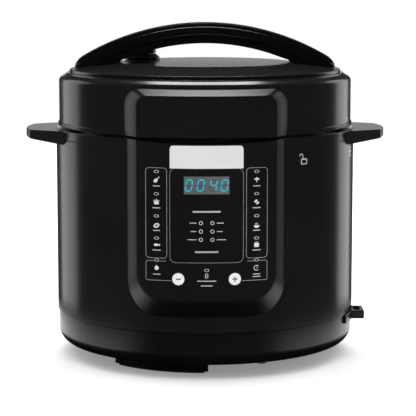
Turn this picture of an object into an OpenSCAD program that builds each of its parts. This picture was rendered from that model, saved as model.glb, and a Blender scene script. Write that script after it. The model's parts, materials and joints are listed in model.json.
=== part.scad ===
// Electric pressure cooker, millimetres, +Z up.
// The origin is on the floor, on the axis of the round body. -Y is the front, with the control panel.

/* [Body] */
// Outer radius of the round housing wall
body_r = 141.3; // [140:0.1:142]
// Thickness of the moulded plastic walls
wall = 2.6; // [2:0.1:2.8]
// Height of the base's underside above the floor
foot_h = 12; // [11:0.5:13]
// Height of the seam between the base and the housing wall
base_top = 43; // [42:0.5:44]
// Height of the housing wall's upper edge
shell_top = 208; // [207:0.5:208.5]
// Height of the rim that the lid closes on
rim_top = 216.5; // [216:0.5:217]

/* [Lid] */
// Outer radius of the lid's side
lid_r = 138.4; // [137.5:0.1:139]
// Height of the lid's lower edge
lid_bottom = 219; // [218.5:0.5:219.5]
// Height of the lid ring's flat top
lid_top = 268.5; // [267:0.5:269]
// Height of the flat middle of the lid
plateau_z = 278; // [277.5:0.5:279]
// Radius of the flat middle of the lid
plateau_r = 85; // [84:1:87]
// Angle that the lid turns from locked to open
lid_turn = 33; // [30:1:33]

/* [Front panel] */
// Radius of the panel's curved face about the body's axis
face_r = 151; // [150:0.5:152]
// Half-angle of the panel's face
face_half = 23.8; // [23:0.1:24.5]
// Half-angle of the panel where it meets the body
panel_half = 30; // [29:0.1:31]
// Height of the lower edge of the panel's face
face_low = 74.5; // [73:0.5:76]
// Height of the upper edge of the panel's face
face_high = 255.6; // [254:0.2:256]

/* [Lid handle] */
// Height of the handle's highest point
handle_top = 315.2; // [313:0.2:317]
// Half of the handle's length
handle_half = 123.2; // [122:0.2:124]
// Depth of the handle from front to back
handle_depth = 34; // [32:1:36]

/* [Side handles] */
// Distance from the axis to a side handle's tip
side_tip = 170; // [168:0.5:172]
// Half of a side handle's width at its tip
side_half = 33; // [30:1:35]

/* [Pot] */
// Inside radius of the removable pot
pot_r = 110; // [109:0.5:110.5]
// Height of the pot's upper edge
pot_top = 208; // [207.5:0.1:208]
// Height of the pot's underside
pot_bottom = 65; // [65:0.1:66]

/* [Hidden] */
$fn = 96;

// Colours
BLACK = [0.05, 0.05, 0.055];
FILM_BLACK = [0.08, 0.08, 0.075];
LENS_GREY = [0.25, 0.28, 0.3];
KEY_WHITE = [0.93, 0.93, 0.93];
STEEL = [0.75, 0.76, 0.78];
ALUMINIUM = [0.66, 0.67, 0.69];
BRASS = [0.8, 0.65, 0.3];
RUBBER_GREY = [0.2, 0.2, 0.2];
SILICONE = [0.82, 0.82, 0.8];
BOARD_GREEN = [0.1, 0.35, 0.18];
CLEAR_GREY = [0.55, 0.57, 0.6];
PART_WHITE = [0.9, 0.9, 0.88];
SIGNAL_RED = [0.75, 0.1, 0.08];

seam = 0.4;              // visible joint between two fixed pieces
run_gap = 0.4;           // clearance between pieces that move apart
cut = 1;                 // how far a cutter runs past a face
reach = 400;             // larger than the whole cooker

shell_in = body_r - wall;
base_r = body_r - 1.3;
base_round = 13;         // outer rounding of the base's lower edge
base_floor = foot_h + 3;
lip_h = 5;               // lip that centres one ring in another
lip_t = 2;

// Bayonet between the liner and the lid plate
collar_in = 131;         // inside radius of the liner's collar
collar_out = 132.2;
lug_count = 6;
lug_angle = lid_turn - 7;  // a turned lug clears the one it leaves and the next one
lug_gap_r = 127.5;       // the two rows of lugs part at this radius
ledge_z = 197;           // where the liner steps out to its collar
lid_lug_z = 205;         // undersides of the two rows of lugs
liner_lug_z = 209;
skirt_out = 122.8;       // outside radius of the lid plate's skirt
skirt_in = 121.6;

// Lid ring's sloping shoulder, then the dome
shoulder_w = 6.8;
shoulder_h = 5.3;
dome_r = 128.2;
dome_step_z = 271.6;
dome_t = 2.4;
dome_edge_r = 126.5;     // the dome's cone runs from the flat middle down to here
plate_z = 231;           // underside of the lid plate's raised middle
plate_t = 1.5;
plate_post_at = 60;      // radius of the ring of posts between the lid plate and the dome
plate_post_angles = [20, 110, 200, 290];
valve_at = [-60.5, 38];
float_at = [-80, 24];
float_rise = 5;
knob_r = 14.3;
valve_collar_r = 17;

// Lid handle arcs, given by their radius and the height of their highest point
arch_top_r = 229;
arch_joint_r = 200;
arch_joint_z = 303;
arch_under_r = 199;
arch_under_z = 295.7;
core_depth = handle_depth - 6;
nub_z = 268.5;
lid_screw_x = [88, 105];
lid_screw_r = 1.7;
lid_screw_end = 281;

// Heating
plate_r = 90;
plate_top = pot_bottom - 0.3;
plate_under = 54;
element_r = 58;
element_tube = 4;
liner_floor = 50;
sensor_r = 10;
sensor_h = 9;
sensor_base = plate_top - sensor_h;
guide_low = 38;          // underside of the sensor guide's floor
guide_floor = 2;
stem_low = 33;

// Panel fittings, on the panel's face
panel_hole_half = 21;     // half-angle of the opening behind the panel
window_half = 20;
window_low = 170;
window_high = 185.6;
key_x = 25;
key_z = 94.2;
key_r = 5.8;
key_travel = 0.8;
board_y = -128;          // front face of the control board
board_t = 1.6;
film_t = 0.8;
board_top = 195;
board_screw_x = 33;
board_screw_z = [105, 191];
board_screw_r = 1.5;
power_screws = [for (x = [-45, 45], y = [-98, -52]) [x, y]];
power_post_h = 8;

// Cup at the rear and mains inlet under it
cup_half = 27;
cup_low = 140;
cup_high = 190;
cup_y = 119;
cup_out = face_r;
inlet_z = 31;
inlet_y = 142;
inlet_half = 14.5;
inlet_half_h = 10.5;

// Screws that hold the side handles from inside the wall
handle_screw_y = 24;
handle_screw_z = 205.6;
handle_screw_r = 1.6;
handle_screw_seat = shell_in - 4.4;

foot_r_out = 110.5;
foot_r_in = 98;
right_foot_r_out = 125;
right_foot_r_in = 113;
front_foot_arc = [-50, 1];
right_foot_arc = [88, 112];
rear_foot_arc = [-150, -124];
pad_t = 1.5;
base_screw_angles = [25, 145, 265];
base_screw_at = 120;      // radius of the ring of base screws
plate_screw_angles = [60, 180, 300];
plate_screw_at = 80;

// Points on an arc about centre c, from angle a0 to a1
function arc(c, r, a0, a1, steps = 10) =
    [for (i = [0 : steps]) let (a = a0 + (a1 - a0) * i / steps) c + r * [cos(a), sin(a)]];

// A point r from the axis, at azimuth a counted from the front towards +X, at height z
function around(a, r, z) = [r * sin(a), -r * cos(a), z];

function blend(p, q, t) = p + (q - p) * t;

module at_azimuth(a, r = 0, z = 0) {
    rotate([0, 0, a]) translate([0, -r, z]) children();
}

module tube(r_in, r_out, z0, z1) {
    translate([0, 0, z0]) difference() {
        cylinder(r = r_out, h = z1 - z0);
        translate([0, 0, -cut]) cylinder(r = r_in, h = z1 - z0 + 2 * cut);
    }
}

// Part of a tube between two azimuths
module tube_arc(r_in, r_out, z0, z1, a0, a1) {
    rotate_extrude(angle = a1 - a0, start = a0 - 90)
        polygon([[r_in, z0], [r_out, z0], [r_out, z1], [r_in, z1]]);
}

module slab(x0, x1, y0, y1, z0, z1) {
    translate([x0, y0, z0]) cube([x1 - x0, y1 - y0, z1 - z0]);
}

// A round bar along -Y that starts at y
module bar_forward(r, x, y, z, length) {
    translate([x, y, z]) rotate([90, 0, 0]) cylinder(r = r, h = length);
}

// A pan-head screw that points down, with its head's underside at z = 0 and a cross in its head
module screw(r, length, head_r, head_h) {
    slot = head_r * 0.3;
    translate([0, 0, -length]) cylinder(r = r, h = length + head_h / 2);
    difference() {
        cylinder(r = head_r, h = head_h);
        for (turn = [0, 90])
            rotate([0, 0, turn])
                slab(-head_r * 0.7, head_r * 0.7, -slot / 2, slot / 2, head_h * 0.5, head_h + cut);
    }
}

// ---- Front panel block: one rounded block, cut by the lid's seam into a lid half and a body half

// Outline of the block as [azimuth, height] at one radius, with rounded lower and upper corners
function panel_outline(half, low, high, corner_low, corner_high, r) =
    let (
        deg = 180 / PI / r,
        cx_low = half - corner_low * deg,
        cx_high = half - corner_high * deg,
        steps = 8,
        corner = function (side, cx, cz, size, a0, a1)
            [for (i = [0 : steps]) let (a = a0 + (a1 - a0) * i / steps)
                [side * cx + size * deg * cos(a), cz + size * sin(a)]],
        edge = function (from_a, to_a, z)
            [for (i = [1 : steps - 1]) [from_a + (to_a - from_a) * i / steps, z]]
    )
    concat(
        corner(1, cx_low, low + corner_low, corner_low, -90, 0),
        corner(1, cx_high, high - corner_high, corner_high, 0, 90),
        edge(cx_high, -cx_high, high),
        corner(-1, cx_high, high - corner_high, corner_high, 90, 180),
        corner(-1, cx_low, low + corner_low, corner_low, 180, 270),
        edge(-cx_low, cx_low, low)
    );

// The block's tapered wall, shrunk all round by inset, running from inside the body to past the face
module panel_plug(inset = 0) {
    shrink = inset * 180 / PI / face_r;
    foot = panel_outline(panel_half - shrink, face_low - 16.5 + inset, face_high + 5.4 - inset,
        33 - inset, 14 - inset, body_r);
    face = panel_outline(face_half - shrink, face_low + inset, face_high - inset,
        22 - inset, 9 - inset, face_r);
    count = len(foot);
    ring = function (t)
        [for (i = [0 : count - 1])
            blend(around(foot[i][0], body_r, foot[i][1]),
                around(face[i][0], face_r, face[i][1]), t)];
    middle = (face_low + face_high) / 2;
    points = concat(ring(-0.2), ring(1.15), [around(0, body_r - 30, middle), around(0, face_r + 20, middle)]);
    side = [for (i = [0 : count - 1]) let (j = (i + 1) % count)
        each [[i, j, count + j], [i, count + j, count + i]]];
    back = [for (i = [0 : count - 1]) [2 * count, (i + 1) % count, i]];
    front = [for (i = [0 : count - 1]) [2 * count + 1, count + i, count + (i + 1) % count]];
    polyhedron(points, [for (f = concat(side, back, front)) [f[2], f[1], f[0]]]);
}

// The block between two radii
module panel_block(r_in, r_out, inset = 0) {
    difference() {
        intersection() {
            panel_plug(inset);
            cylinder(r = r_out, h = reach);
        }
        translate([0, 0, -cut]) cylinder(r = r_in, h = reach);
    }
}

// Everything above the body's part of the panel; its lower side bows down in the middle
module above_panel_seam() {
    bow = 2.5;
    half = face_r * sin(face_half);
    bow_r = (half * half + bow * bow) / (2 * bow);
    translate([0, 0, rim_top - bow + bow_r]) rotate([90, 0, 0]) cylinder(r = bow_r, h = reach);
}

module key_holes(r) {
    for (x = [-key_x, key_x])
        bar_forward(r, x, board_y, key_z, reach);
}

module window_hole(grow = 0) {
    slab(-window_half - grow, window_half + grow, -reach, board_y, window_low - grow, window_high + grow);
}

// ---- Housing

module outer_shell() {
    color(BLACK) difference() {
        tube(shell_in, body_r, base_top + seam, shell_top);
        tube_arc(shell_in - 10, body_r + 10, 82, 200, -panel_hole_half, panel_hole_half);
        slab(-cup_half - wall, cup_half + wall, 100, reach, cup_low - wall, cup_high + wall);
        handle_holes();
    }
}

// Screw holes through the wall into both side handles
module handle_holes(r = handle_screw_r, end = body_r + 4.7) {
    for (side = [-1, 1], y = [-handle_screw_y, handle_screw_y])
        translate([side * 120, y, handle_screw_z]) rotate([0, side * 90, 0])
            cylinder(r = r, h = end - 120);
}

module panel_bezel() {
    color(BLACK) difference() {
        union() {
            difference() {
                panel_block(body_r, face_r);
                above_panel_seam();
                panel_block(body_r - 20, face_r - wall - film_t, wall);
                difference() {
                    panel_block(face_r - film_t, face_r + 20, 3);
                    translate([0, 0, rim_top - 5]) cylinder(r = reach, h = reach);
                }
            }
            intersection() {
                board_posts(4, 40);
                cylinder(r = face_r - film_t - 1, h = reach);
            }
        }
        board_posts(board_screw_r, 5);
        key_holes(key_r);
        window_hole(1);
    }
}

// Round bars that run forward from the control board at its four screws
module board_posts(r, length) {
    for (x = [-board_screw_x, board_screw_x], z = board_screw_z)
        bar_forward(r, x, board_y, z, length);
}

module panel_overlay() {
    color(FILM_BLACK) difference() {
        panel_block(face_r - film_t, face_r, 3);
        translate([0, 0, rim_top - 5]) cylinder(r = reach, h = reach);
        key_holes(key_r);
        window_hole();
    }
}

module display_window() {
    color(LENS_GREY) intersection() {
        tube(face_r - wall, face_r, window_low, window_high);
        slab(-window_half, window_half, -reach, 0, window_low, window_high);
    }
}

module display_module() {
    color(BLACK)
        slab(-window_half - 2, window_half + 2, board_y - 17, board_y, window_low + 0.5, window_high - 0.5);
}

module control_board() {
    color(BOARD_GREEN) difference() {
        slab(-42, 42, board_y, board_y + board_t, 86, board_top);
        translate([0, board_t + cut, 0]) board_posts(board_screw_r, board_t + 2 * cut);
    }
    color(BLACK)
        slab(-8, 8, board_y + board_t, board_y + board_t + 2.5, 130, 146);
    color(PART_WHITE)
        slab(-30, -12, board_y + board_t, board_y + board_t + 8, 150, 157);
}

module key_switches() {
    color(PART_WHITE)
        for (x = [-key_x, key_x]) {
            slab(x - 3, x + 3, board_y - 4, board_y, key_z - 3, key_z + 3);
            bar_forward(1.75, x, board_y - 4, key_z, 1);
        }
}

module indicator_leds() {
    column = [110.6, 130.3, 150.1, 169.8, 189.5];
    small = [129.7, 137, 144.5];
    color(PART_WHITE) {
        for (x = [-39, 39], z = column)
            bar_forward(1.5, x, board_y, z, 8);
        for (x = [-5, 5], z = small)
            bar_forward(1.5, x, board_y, z, 14);
        bar_forward(1.5, 0, board_y, 102.4, 14);
    }
}

// A round key: its face follows the panel, its rod reaches the switch
module panel_key(x) {
    rod_end = board_y - 5 - key_travel - 0.2;
    color(KEY_WHITE) intersection() {
        union() {
            bar_forward(key_r - 0.3, x, -142.5, key_z, 20);
            bar_forward(2, x, rod_end, key_z, 10);
        }
        cylinder(r = face_r, h = reach);
    }
}

module minus_key() panel_key(-key_x);

module plus_key() panel_key(key_x);

module rim_ring() {
    round_r = 0.8;
    inner = collar_out + 0.6;
    fin = 1.6;
    color(BLACK) difference() {
        rotate_extrude() polygon(concat(
            [[body_r, shell_top + seam]],
            arc([body_r - round_r, rim_top - round_r], round_r, 0, 90, 4),
            [
                [inner, rim_top],
                [inner, ledge_z + lip_h],
                [inner + fin, ledge_z + lip_h],
                [inner + fin, rim_top - wall],
                [shell_in - lip_t, rim_top - wall],
                [shell_in - lip_t, shell_top - lip_h],
                [shell_in, shell_top - lip_h],
                [shell_in, shell_top + seam]
            ]));
        handle_holes();
        handle_holes(4, handle_screw_seat + 0.1);
    }
}

// Right-hand side handle: a hollow ledge that wraps the body at its root
module side_handle() {
    root_half = 55;
    root_z = 203.4;
    tip_z = 208.9;
    top_z = 216;
    corner = 9;
    outline = concat(
        [[100, -root_half], [128, -root_half]],
        arc([side_tip - corner, -side_half + corner], corner, -60, 0, 6),
        arc([side_tip - corner, side_half - corner], corner, 0, 60, 6),
        [[128, root_half], [100, root_half]]);
    side_view = [[100, root_z], [body_r + 4, root_z], [side_tip, tip_z], [side_tip, top_z - 1.5],
        [side_tip - 1.5, top_z], [100, top_z]];
    color(BLACK) difference() {
        intersection() {
            linear_extrude(reach) polygon(outline);
            rotate([90, 0, 0]) translate([0, 0, -reach / 2]) linear_extrude(reach) polygon(side_view);
        }
        cylinder(r = body_r, h = reach);
        slab(body_r + 7, side_tip - 6, -side_half + 7, side_half - 7, root_z - cut, top_z - 3);
        handle_holes();
    }
}

module side_handle_right() side_handle();

module side_handle_left() mirror([1, 0, 0]) side_handle();

module side_handle_screws() {
    color(STEEL)
        for (side = [0, 1], y = [-handle_screw_y, handle_screw_y])
            mirror([side, 0, 0])
                translate([handle_screw_seat, y, handle_screw_z])
                    rotate([0, -90, 0]) screw(handle_screw_r, 10, 3.2, 2);
}

module liner() {
    t = 1;
    r_in = pot_r + 3.5;
    round_r = 5;
    color(STEEL) {
        difference() {
            rotate_extrude() polygon(concat(
                [[70, liner_floor], [70, liner_floor + t]],
                arc([r_in - round_r, liner_floor + t + round_r], round_r, -90, 0, 6),
                [[r_in, ledge_z + t], [collar_in, ledge_z + t], [collar_in, rim_top - 2],
                    [collar_out, rim_top - 2], [collar_out, ledge_z], [r_in + t, ledge_z]],
                arc([r_in - round_r, liner_floor + t + round_r], round_r + t, 0, -90, 6)));
            for (a = plate_screw_angles)
                at_azimuth(a, plate_screw_at, liner_floor - cut) cylinder(r = 2, h = 4);
        }
        for (i = [0 : lug_count - 1])
            tube_arc(lug_gap_r + run_gap / 2, collar_in + t / 2, liner_lug_z, liner_lug_z + 2.5,
                360 / lug_count * i - lug_angle / 2, 360 / lug_count * i + lug_angle / 2);
    }
}

module base() {
    inner_r = base_r - wall;
    inner_round = base_round - wall;
    color(BLACK) {
        difference() {
            rotate_extrude() polygon(concat(
                [[0, foot_h]],
                arc([base_r - base_round, foot_h + base_round], base_round, -90, 0, 12),
                [[base_r, base_top], [shell_in, base_top], [shell_in, base_top + lip_h],
                    [shell_in - lip_t, base_top + lip_h], [inner_r, base_top - 3]],
                arc([inner_r - inner_round, base_floor + inner_round], inner_round, 0, -90, 8),
                [[0, base_floor]]));
            for (i = [-3 : 3])
                slab(-26, 26, i * 12 - 2, i * 12 + 2, foot_h - cut, base_floor + cut);
            slab(-inlet_half, inlet_half, 120, reach, inlet_z - inlet_half_h, inlet_z + inlet_half_h);
            for (a = base_screw_angles)
                at_azimuth(a, base_screw_at, foot_h - cut) cylinder(r = 2.2, h = 10);
        }
        for (p = power_screws)
            translate([p[0], p[1], base_floor]) cylinder(r = 3.5, h = power_post_h);
    }
}

module foot(r_in, r_out, ends) {
    color(BLACK) tube_arc(r_in, r_out, pad_t, foot_h, ends[0], ends[1]);
}

module front_foot() foot(foot_r_in, foot_r_out, front_foot_arc);

module right_foot() foot(right_foot_r_in, right_foot_r_out, right_foot_arc);

module rear_foot() foot(foot_r_in, foot_r_out, rear_foot_arc);

module foot_pads() {
    edge = 2;
    color(RUBBER_GREY) {
        for (ends = [front_foot_arc, rear_foot_arc])
            tube_arc(foot_r_in + edge, foot_r_out - edge, 0, pad_t, ends[0] + 2, ends[1] - 2);
        tube_arc(right_foot_r_in + edge, right_foot_r_out - edge, 0, pad_t,
            right_foot_arc[0] + 2, right_foot_arc[1] - 2);
    }
}

// ---- Heating and electrics

module heating_plate() {
    color(ALUMINIUM) difference() {
        union() {
            translate([0, 0, plate_under]) cylinder(r = plate_r, h = plate_top - plate_under);
            tube(element_r - 7, element_r + 7, plate_under - 10, plate_under + 1);
            for (a = plate_screw_angles)
                at_azimuth(a, plate_screw_at, liner_floor + 1) cylinder(r = 6, h = 5);
        }
        translate([0, 0, plate_under - cut]) cylinder(r = sensor_r + 4, h = 20);
        translate([0, 0, plate_under - 4]) rotate_extrude() translate([element_r, 0]) circle(r = element_tube);
        for (a = [-8, 8])
            at_azimuth(a + 30, element_r, plate_under - 14) cylinder(r = 3, h = 10);
        for (a = plate_screw_angles)
            at_azimuth(a, plate_screw_at, liner_floor - cut) cylinder(r = 1.6, h = 9);
    }
}

module heater_element() {
    color(STEEL) {
        translate([0, 0, plate_under - 4]) rotate_extrude() translate([element_r, 0]) circle(r = element_tube);
        for (a = [-8, 8])
            at_azimuth(a + 30, element_r, plate_under - 20) cylinder(r = 3, h = 14);
    }
}

module plate_screws() {
    color(STEEL)
        for (a = plate_screw_angles)
            at_azimuth(a, plate_screw_at, liner_floor) mirror([0, 0, 1]) screw(1.6, 7, 4, 2.2);
}

module sensor_guide() {
    r = sensor_r + run_gap;
    color(STEEL) {
        tube(r, sensor_r + 4, guide_low + guide_floor, plate_top - 2.5);
        tube(3.5, sensor_r + 4, guide_low, guide_low + guide_floor);
    }
}

module temp_sensor() {
    color(ALUMINIUM) translate([0, 0, sensor_base]) cylinder(r = sensor_r, h = sensor_h);
    color(STEEL) translate([0, 0, stem_low]) cylinder(r = 3, h = sensor_base - stem_low + 0.5);
}

// A compression spring, drawn as a stack of rings joined by a thin sleeve
module sensor_spring() {
    low = guide_low + guide_floor;
    high = sensor_base;
    turns = 5;
    wire_r = 0.8;
    coil_r = 7;
    pitch = (high - low - 2 * wire_r) / turns;
    color(STEEL) {
        for (i = [0 : turns])
            translate([0, 0, low + wire_r + i * pitch])
                rotate_extrude() translate([coil_r, 0]) circle(r = wire_r);
        tube(coil_r - 0.1, coil_r + 0.1, low + 0.5, high - 0.5);
    }
}

module pressure_switch() {
    bracket_z = 42;
    body_h = 16;
    blade_h = 8;
    color(STEEL) difference() {
        slab(-62, -30, 22, 46, bracket_z, bracket_z + 1.2);
        translate([-58, 34, bracket_z - cut]) cylinder(r = 1.7, h = 4);
    }
    color(BLACK) slab(-46, -32, 26, 42, bracket_z - body_h, bracket_z);
    color(BRASS)
        for (y = [29, 36])
            slab(-41, -37, y, y + 0.8, bracket_z - body_h - blade_h, bracket_z - body_h);
}

module thermal_fuse() {
    r = 3;
    start = [74, -52, liner_floor - r];
    color(PART_WHITE) translate(start) rotate([0, 90, 25]) cylinder(r = r, h = 22);
    color(STEEL) translate(start) rotate([0, 90, 25]) translate([0, 0, -8]) cylinder(r = 0.8, h = 38);
}

// The board under the liner, with its relay, coil, capacitor, plug and three blades
module power_board() {
    z = base_floor + power_post_h;
    top = z + board_t;
    color(BOARD_GREEN) difference() {
        slab(-50, 50, -102, -48, z, top);
        for (p = power_screws)
            translate([p[0], p[1], z - cut]) cylinder(r = 1.7, h = 4);
    }
    color(BLACK) slab(-38, -16, -96, -72, top, top + 18);
    color([0.2, 0.35, 0.6]) slab(2, 20, -95, -80, top, top + 14);
    color([0.15, 0.2, 0.45]) translate([30, -88, top]) cylinder(r = 6, h = 16);
    color(PART_WHITE) slab(-32, -8, -60, -54, top, top + 9);
    color(BRASS)
        for (x = [10, 20, 30])
            slab(x, x + 6, -56, -55.2, top, top + 8);
}

// A wire that runs straight from point to point; each stretch runs a little past its ends
module wire(points, r) {
    overlap = r / 2;
    for (i = [0 : len(points) - 2]) {
        step = points[i + 1] - points[i];
        length = norm(step);
        translate(points[i])
            rotate([0, acos(step[2] / length), atan2(step[1], step[0])])
                translate([0, 0, -overlap]) cylinder(r = r, h = length + 2 * overlap, $fn = 8);
    }
}

// Two mains wires from the inlet, one lead from the board to the heater, and the panel's cable
module wiring() {
    rail = base_floor + 3;
    pin_z = inlet_z - 2;
    start_y = inlet_y - 30;
    terminal_near = around(22, element_r, plate_under - 20);
    terminal_far = around(38, element_r, plate_under - 20);
    color([0.1, 0.25, 0.6]) wire([[-7, start_y, pin_z], [-7, start_y - 8, pin_z], [-56, 60, rail],
        [-56, -36, rail], [-24, -57, 40], [-24, -57, 34.5]], 1.5);
    color([0.45, 0.25, 0.12]) wire([[7, start_y, pin_z], [7, start_y - 8, pin_z], [60, 60, rail],
        [60, -20, rail], terminal_far - [0, 0, 6], terminal_far - [0, 0, 0.8]], 1.5);
    color([0.75, 0.1, 0.1]) wire([[13, -55.6, 34], [13, terminal_near[1], 39],
        [terminal_near[0] - 3.7, terminal_near[1], 39]], 1.2);
    color([0.85, 0.85, 0.85]) wire([[-12, -57, 35], [-12, -57, 40], [-12, -104, 40],
        [-21, -122, 48], [-21, -122, 148.9]], 2);
}

module power_inlet() {
    depth = 18;
    color(BLACK) {
        difference() {
            slab(-inlet_half, inlet_half, inlet_y - 22, inlet_y,
                inlet_z - inlet_half_h, inlet_z + inlet_half_h);
            slab(-12.2, 12.2, inlet_y - depth, inlet_y + cut, inlet_z - 8, inlet_z + 8);
            pin_blades();
        }
    }
}

// The three flat blades of the inlet
module pin_blades() {
    for (p = [[-7, -2], [0, 2], [7, -2]])
        slab(p[0] - 1, p[0] + 1, inlet_y - 29, inlet_y - 5, inlet_z + p[1] - 2, inlet_z + p[1] + 2);
}

module inlet_pins() {
    color(BRASS) pin_blades();
}

module utensil_holder() {
    front = -29;
    back = -3;
    low = 34.5;
    high = 42.6;
    outer = 151.5;
    color(BLACK) difference() {
        union() {
            slab(132, outer, front, back, low, high);
            tube_arc(base_r, base_r + 2.4, low, high, 68, 90);
        }
        slab(base_r + 2.4, outer - 3.2, front + 4, back - 4, low - cut, high + cut);
        translate([0, 0, low - cut]) cylinder(r = base_r, h = reach);
    }
}

module cup_housing() {
    t = 1.8;
    color(BLACK) difference() {
        intersection() {
            slab(-cup_half - wall, cup_half + wall, cup_y - wall - 0.4, reach, cup_low - wall, cup_high + wall);
            cylinder(r = body_r, h = reach);
        }
        slab(-cup_half - run_gap, cup_half + run_gap, cup_y - run_gap, reach,
            cup_low - run_gap, cup_high + run_gap);
        translate([0, cup_y + 12, cup_high - cut]) cylinder(r = t, h = 10);
    }
}

module condensate_cup() {
    t = 1.6;
    color(CLEAR_GREY) difference() {
        slab(-cup_half, cup_half, cup_y, cup_out, cup_low, cup_high);
        slab(-cup_half + t, cup_half - t, cup_y + t, cup_out - t, cup_low + t, cup_high + cut);
    }
}

module base_screws() {
    color(STEEL)
        for (a = base_screw_angles)
            at_azimuth(a, base_screw_at, foot_h) mirror([0, 0, 1]) screw(2, 9, 4, 2.4);
}

module board_screws() {
    color(STEEL) {
        for (p = power_screws)
            translate([p[0], p[1], base_floor + power_post_h + board_t])
                screw(board_screw_r, board_t, 3, 1.8);
        for (x = [-board_screw_x, board_screw_x], z = board_screw_z)
            translate([x, board_y + board_t, z]) rotate([-90, 0, 0])
                screw(board_screw_r, board_t + 4.5, 3, 1.8);
    }
}

// ---- Pot

module inner_pot() {
    t = 1.5;
    floor_t = 2.5;
    round_r = 14;
    lip_r = pot_r + 9;
    color(ALUMINIUM) rotate_extrude() polygon(concat(
        [[0, pot_bottom]],
        arc([pot_r + t - round_r - t, pot_bottom + round_r + t], round_r + t, -90, 0, 8),
        [[pot_r + t, pot_top - t]],
        [[lip_r, pot_top - t]],
        [[lip_r, pot_top]],
        arc([pot_r + 2, pot_top - 2], 2, 90, 180, 4),
        arc([pot_r - round_r, pot_bottom + floor_t + round_r], round_r, 0, -90, 8),
        [[0, pot_bottom + floor_t]]));
}

// ---- Lid

module lid_ring() {
    lip = 1;
    inner_r = lid_r - wall;
    cap_t = 2.6;
    color(BLACK) rotate_extrude() polygon(concat(
        arc([lid_r + lip - 0.8, lid_bottom + 0.8], 0.8, -90, 0, 4),
        [[lid_r + lip, lid_bottom + 3], [lid_r, lid_bottom + 3.6]],
        [[lid_r, lid_top - shoulder_h], [lid_r - shoulder_w, lid_top - 1.2],
            [lid_r - shoulder_w - 0.8, lid_top]],
        [[dome_r + 0.4, lid_top], [dome_r + 0.4, lid_top - 2], [dome_r - 4, lid_top - 2],
            [dome_r - 4, lid_top - 2 - cap_t]],
        arc([inner_r - 4, lid_top - 2 - cap_t - 4], 4, 90, 0, 6),
        [[inner_r, lid_bottom]]));
}

module dome_solid(z_low) {
    round_r = 2;
    rotate_extrude() polygon(concat(
        [[0, z_low], [dome_r, z_low]],
        arc([dome_r - round_r, dome_step_z - round_r], round_r, 0, 80, 6),
        [[plateau_r, plateau_z - 0.1], [plateau_r - 3, plateau_z], [0, plateau_z]]));
}

module nub_pockets(grow = 0) {
    for (side = [0, 1])
        mirror([side, 0, 0])
            slab(111 - grow, handle_half + 0.2 + grow, -handle_depth / 2 - 0.2 - grow,
                handle_depth / 2 + 0.2 + grow, nub_z - grow, lid_top + 40);
}

module lid_dome() {
    color(BLACK) difference() {
        union() {
            difference() {
                dome_solid(lid_top - 2);
                translate([0, 0, -dome_t]) dome_solid(lid_top - 40);
            }
            tube(dome_r - 8, dome_r, lid_top - 2, lid_top - 0.2);
            intersection() {
                nub_pockets(2);
                dome_solid(lid_top - 2);
            }
        }
        nub_pockets();
        translate([valve_at[0], valve_at[1], 0]) cylinder(r = 8.4, h = reach);  // the collar's neck
        translate([float_at[0], float_at[1], 0]) cylinder(r = 6.4, h = reach);
        lid_handle_holes(lid_screw_r + 0.2);
    }
}

// Holes for the screws that come up through the dome into the lid handle
module lid_handle_holes(r) {
    for (side = [-1, 1], x = lid_screw_x)
        translate([side * x, 0, 200]) cylinder(r = r, h = lid_screw_end - 200);
}

// Height of the cone's underside at radius r
function dome_under(r) =
    plateau_z - dome_t - (r - plateau_r) * (plateau_z - dome_step_z) / (dome_edge_r - plateau_r);

module lid_panel() {
    color(BLACK) difference() {
        panel_block(lid_r + 1, face_r);
        translate([0, 0, -cut]) cylinder(r = reach, h = lid_bottom + cut);
        intersection() {
            panel_block(lid_r - 10, face_r - wall, wall);
            translate([0, 0, lid_bottom + 2]) cylinder(r = reach, h = reach);
        }
    }
    color(BLACK) intersection() {
        difference() {
            panel_plug();
            translate([0, 0, -cut]) cylinder(r = lid_r, h = reach);
        }
        tube(lid_r, lid_r + 1, lid_bottom + 3.6, lid_top);
    }
}

// The space between two arches, extruded from front to back
module arch(top_r, top_z, under_r, under_z, depth, half) {
    rotate([90, 0, 0]) translate([0, 0, -depth / 2]) linear_extrude(depth) difference() {
        intersection() {
            translate([0, top_z - top_r]) circle(r = top_r, $fn = 180);
            translate([-half, nub_z]) square([2 * half, 60]);
        }
        translate([0, under_z - under_r]) circle(r = under_r, $fn = 180);
    }
}

module lid_handle() {
    under_half = 79;
    color(BLACK) difference() {
        rotate([90, 0, 0]) translate([0, 0, -core_depth / 2]) linear_extrude(core_depth) difference() {
            intersection() {
                translate([0, arch_joint_z - arch_joint_r]) circle(r = arch_joint_r, $fn = 180);
                translate([-handle_half, nub_z]) square([2 * handle_half, 60]);
            }
            intersection() {
                translate([0, arch_under_z - arch_under_r]) circle(r = arch_under_r, $fn = 180);
                translate([-under_half, 0]) square([2 * under_half, 400]);
            }
        }
        dome_solid(lid_top - 40);
        lid_handle_holes(lid_screw_r);
    }
}

module handle_cap() {
    skin = 2.8;
    color(BLACK) difference() {
        arch(arch_top_r, handle_top, arch_joint_r, arch_joint_z, handle_depth, handle_half);
        intersection() {
            arch(arch_top_r - skin, handle_top - skin, arch_joint_r, arch_joint_z,
                handle_depth - 2 * skin, handle_half - skin);
            slab(-100, 100, -handle_depth, handle_depth, 0, reach);
        }
        dome_under_cap();
        lid_handle_holes(lid_screw_r);
    }
}

// The lid under the cap, kept out of it
module dome_under_cap() {
    difference() {
        dome_solid(lid_top - 40);
        nub_pockets(0.01);
    }
}

module lid_handle_screws() {
    head_r = 3.4;
    color(STEEL)
        for (side = [-1, 1], x = lid_screw_x)
            translate([side * x, 0, dome_under(x + head_r) - 0.1]) mirror([0, 0, 1])
                screw(lid_screw_r, 6, head_r, 2);
}

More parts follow.
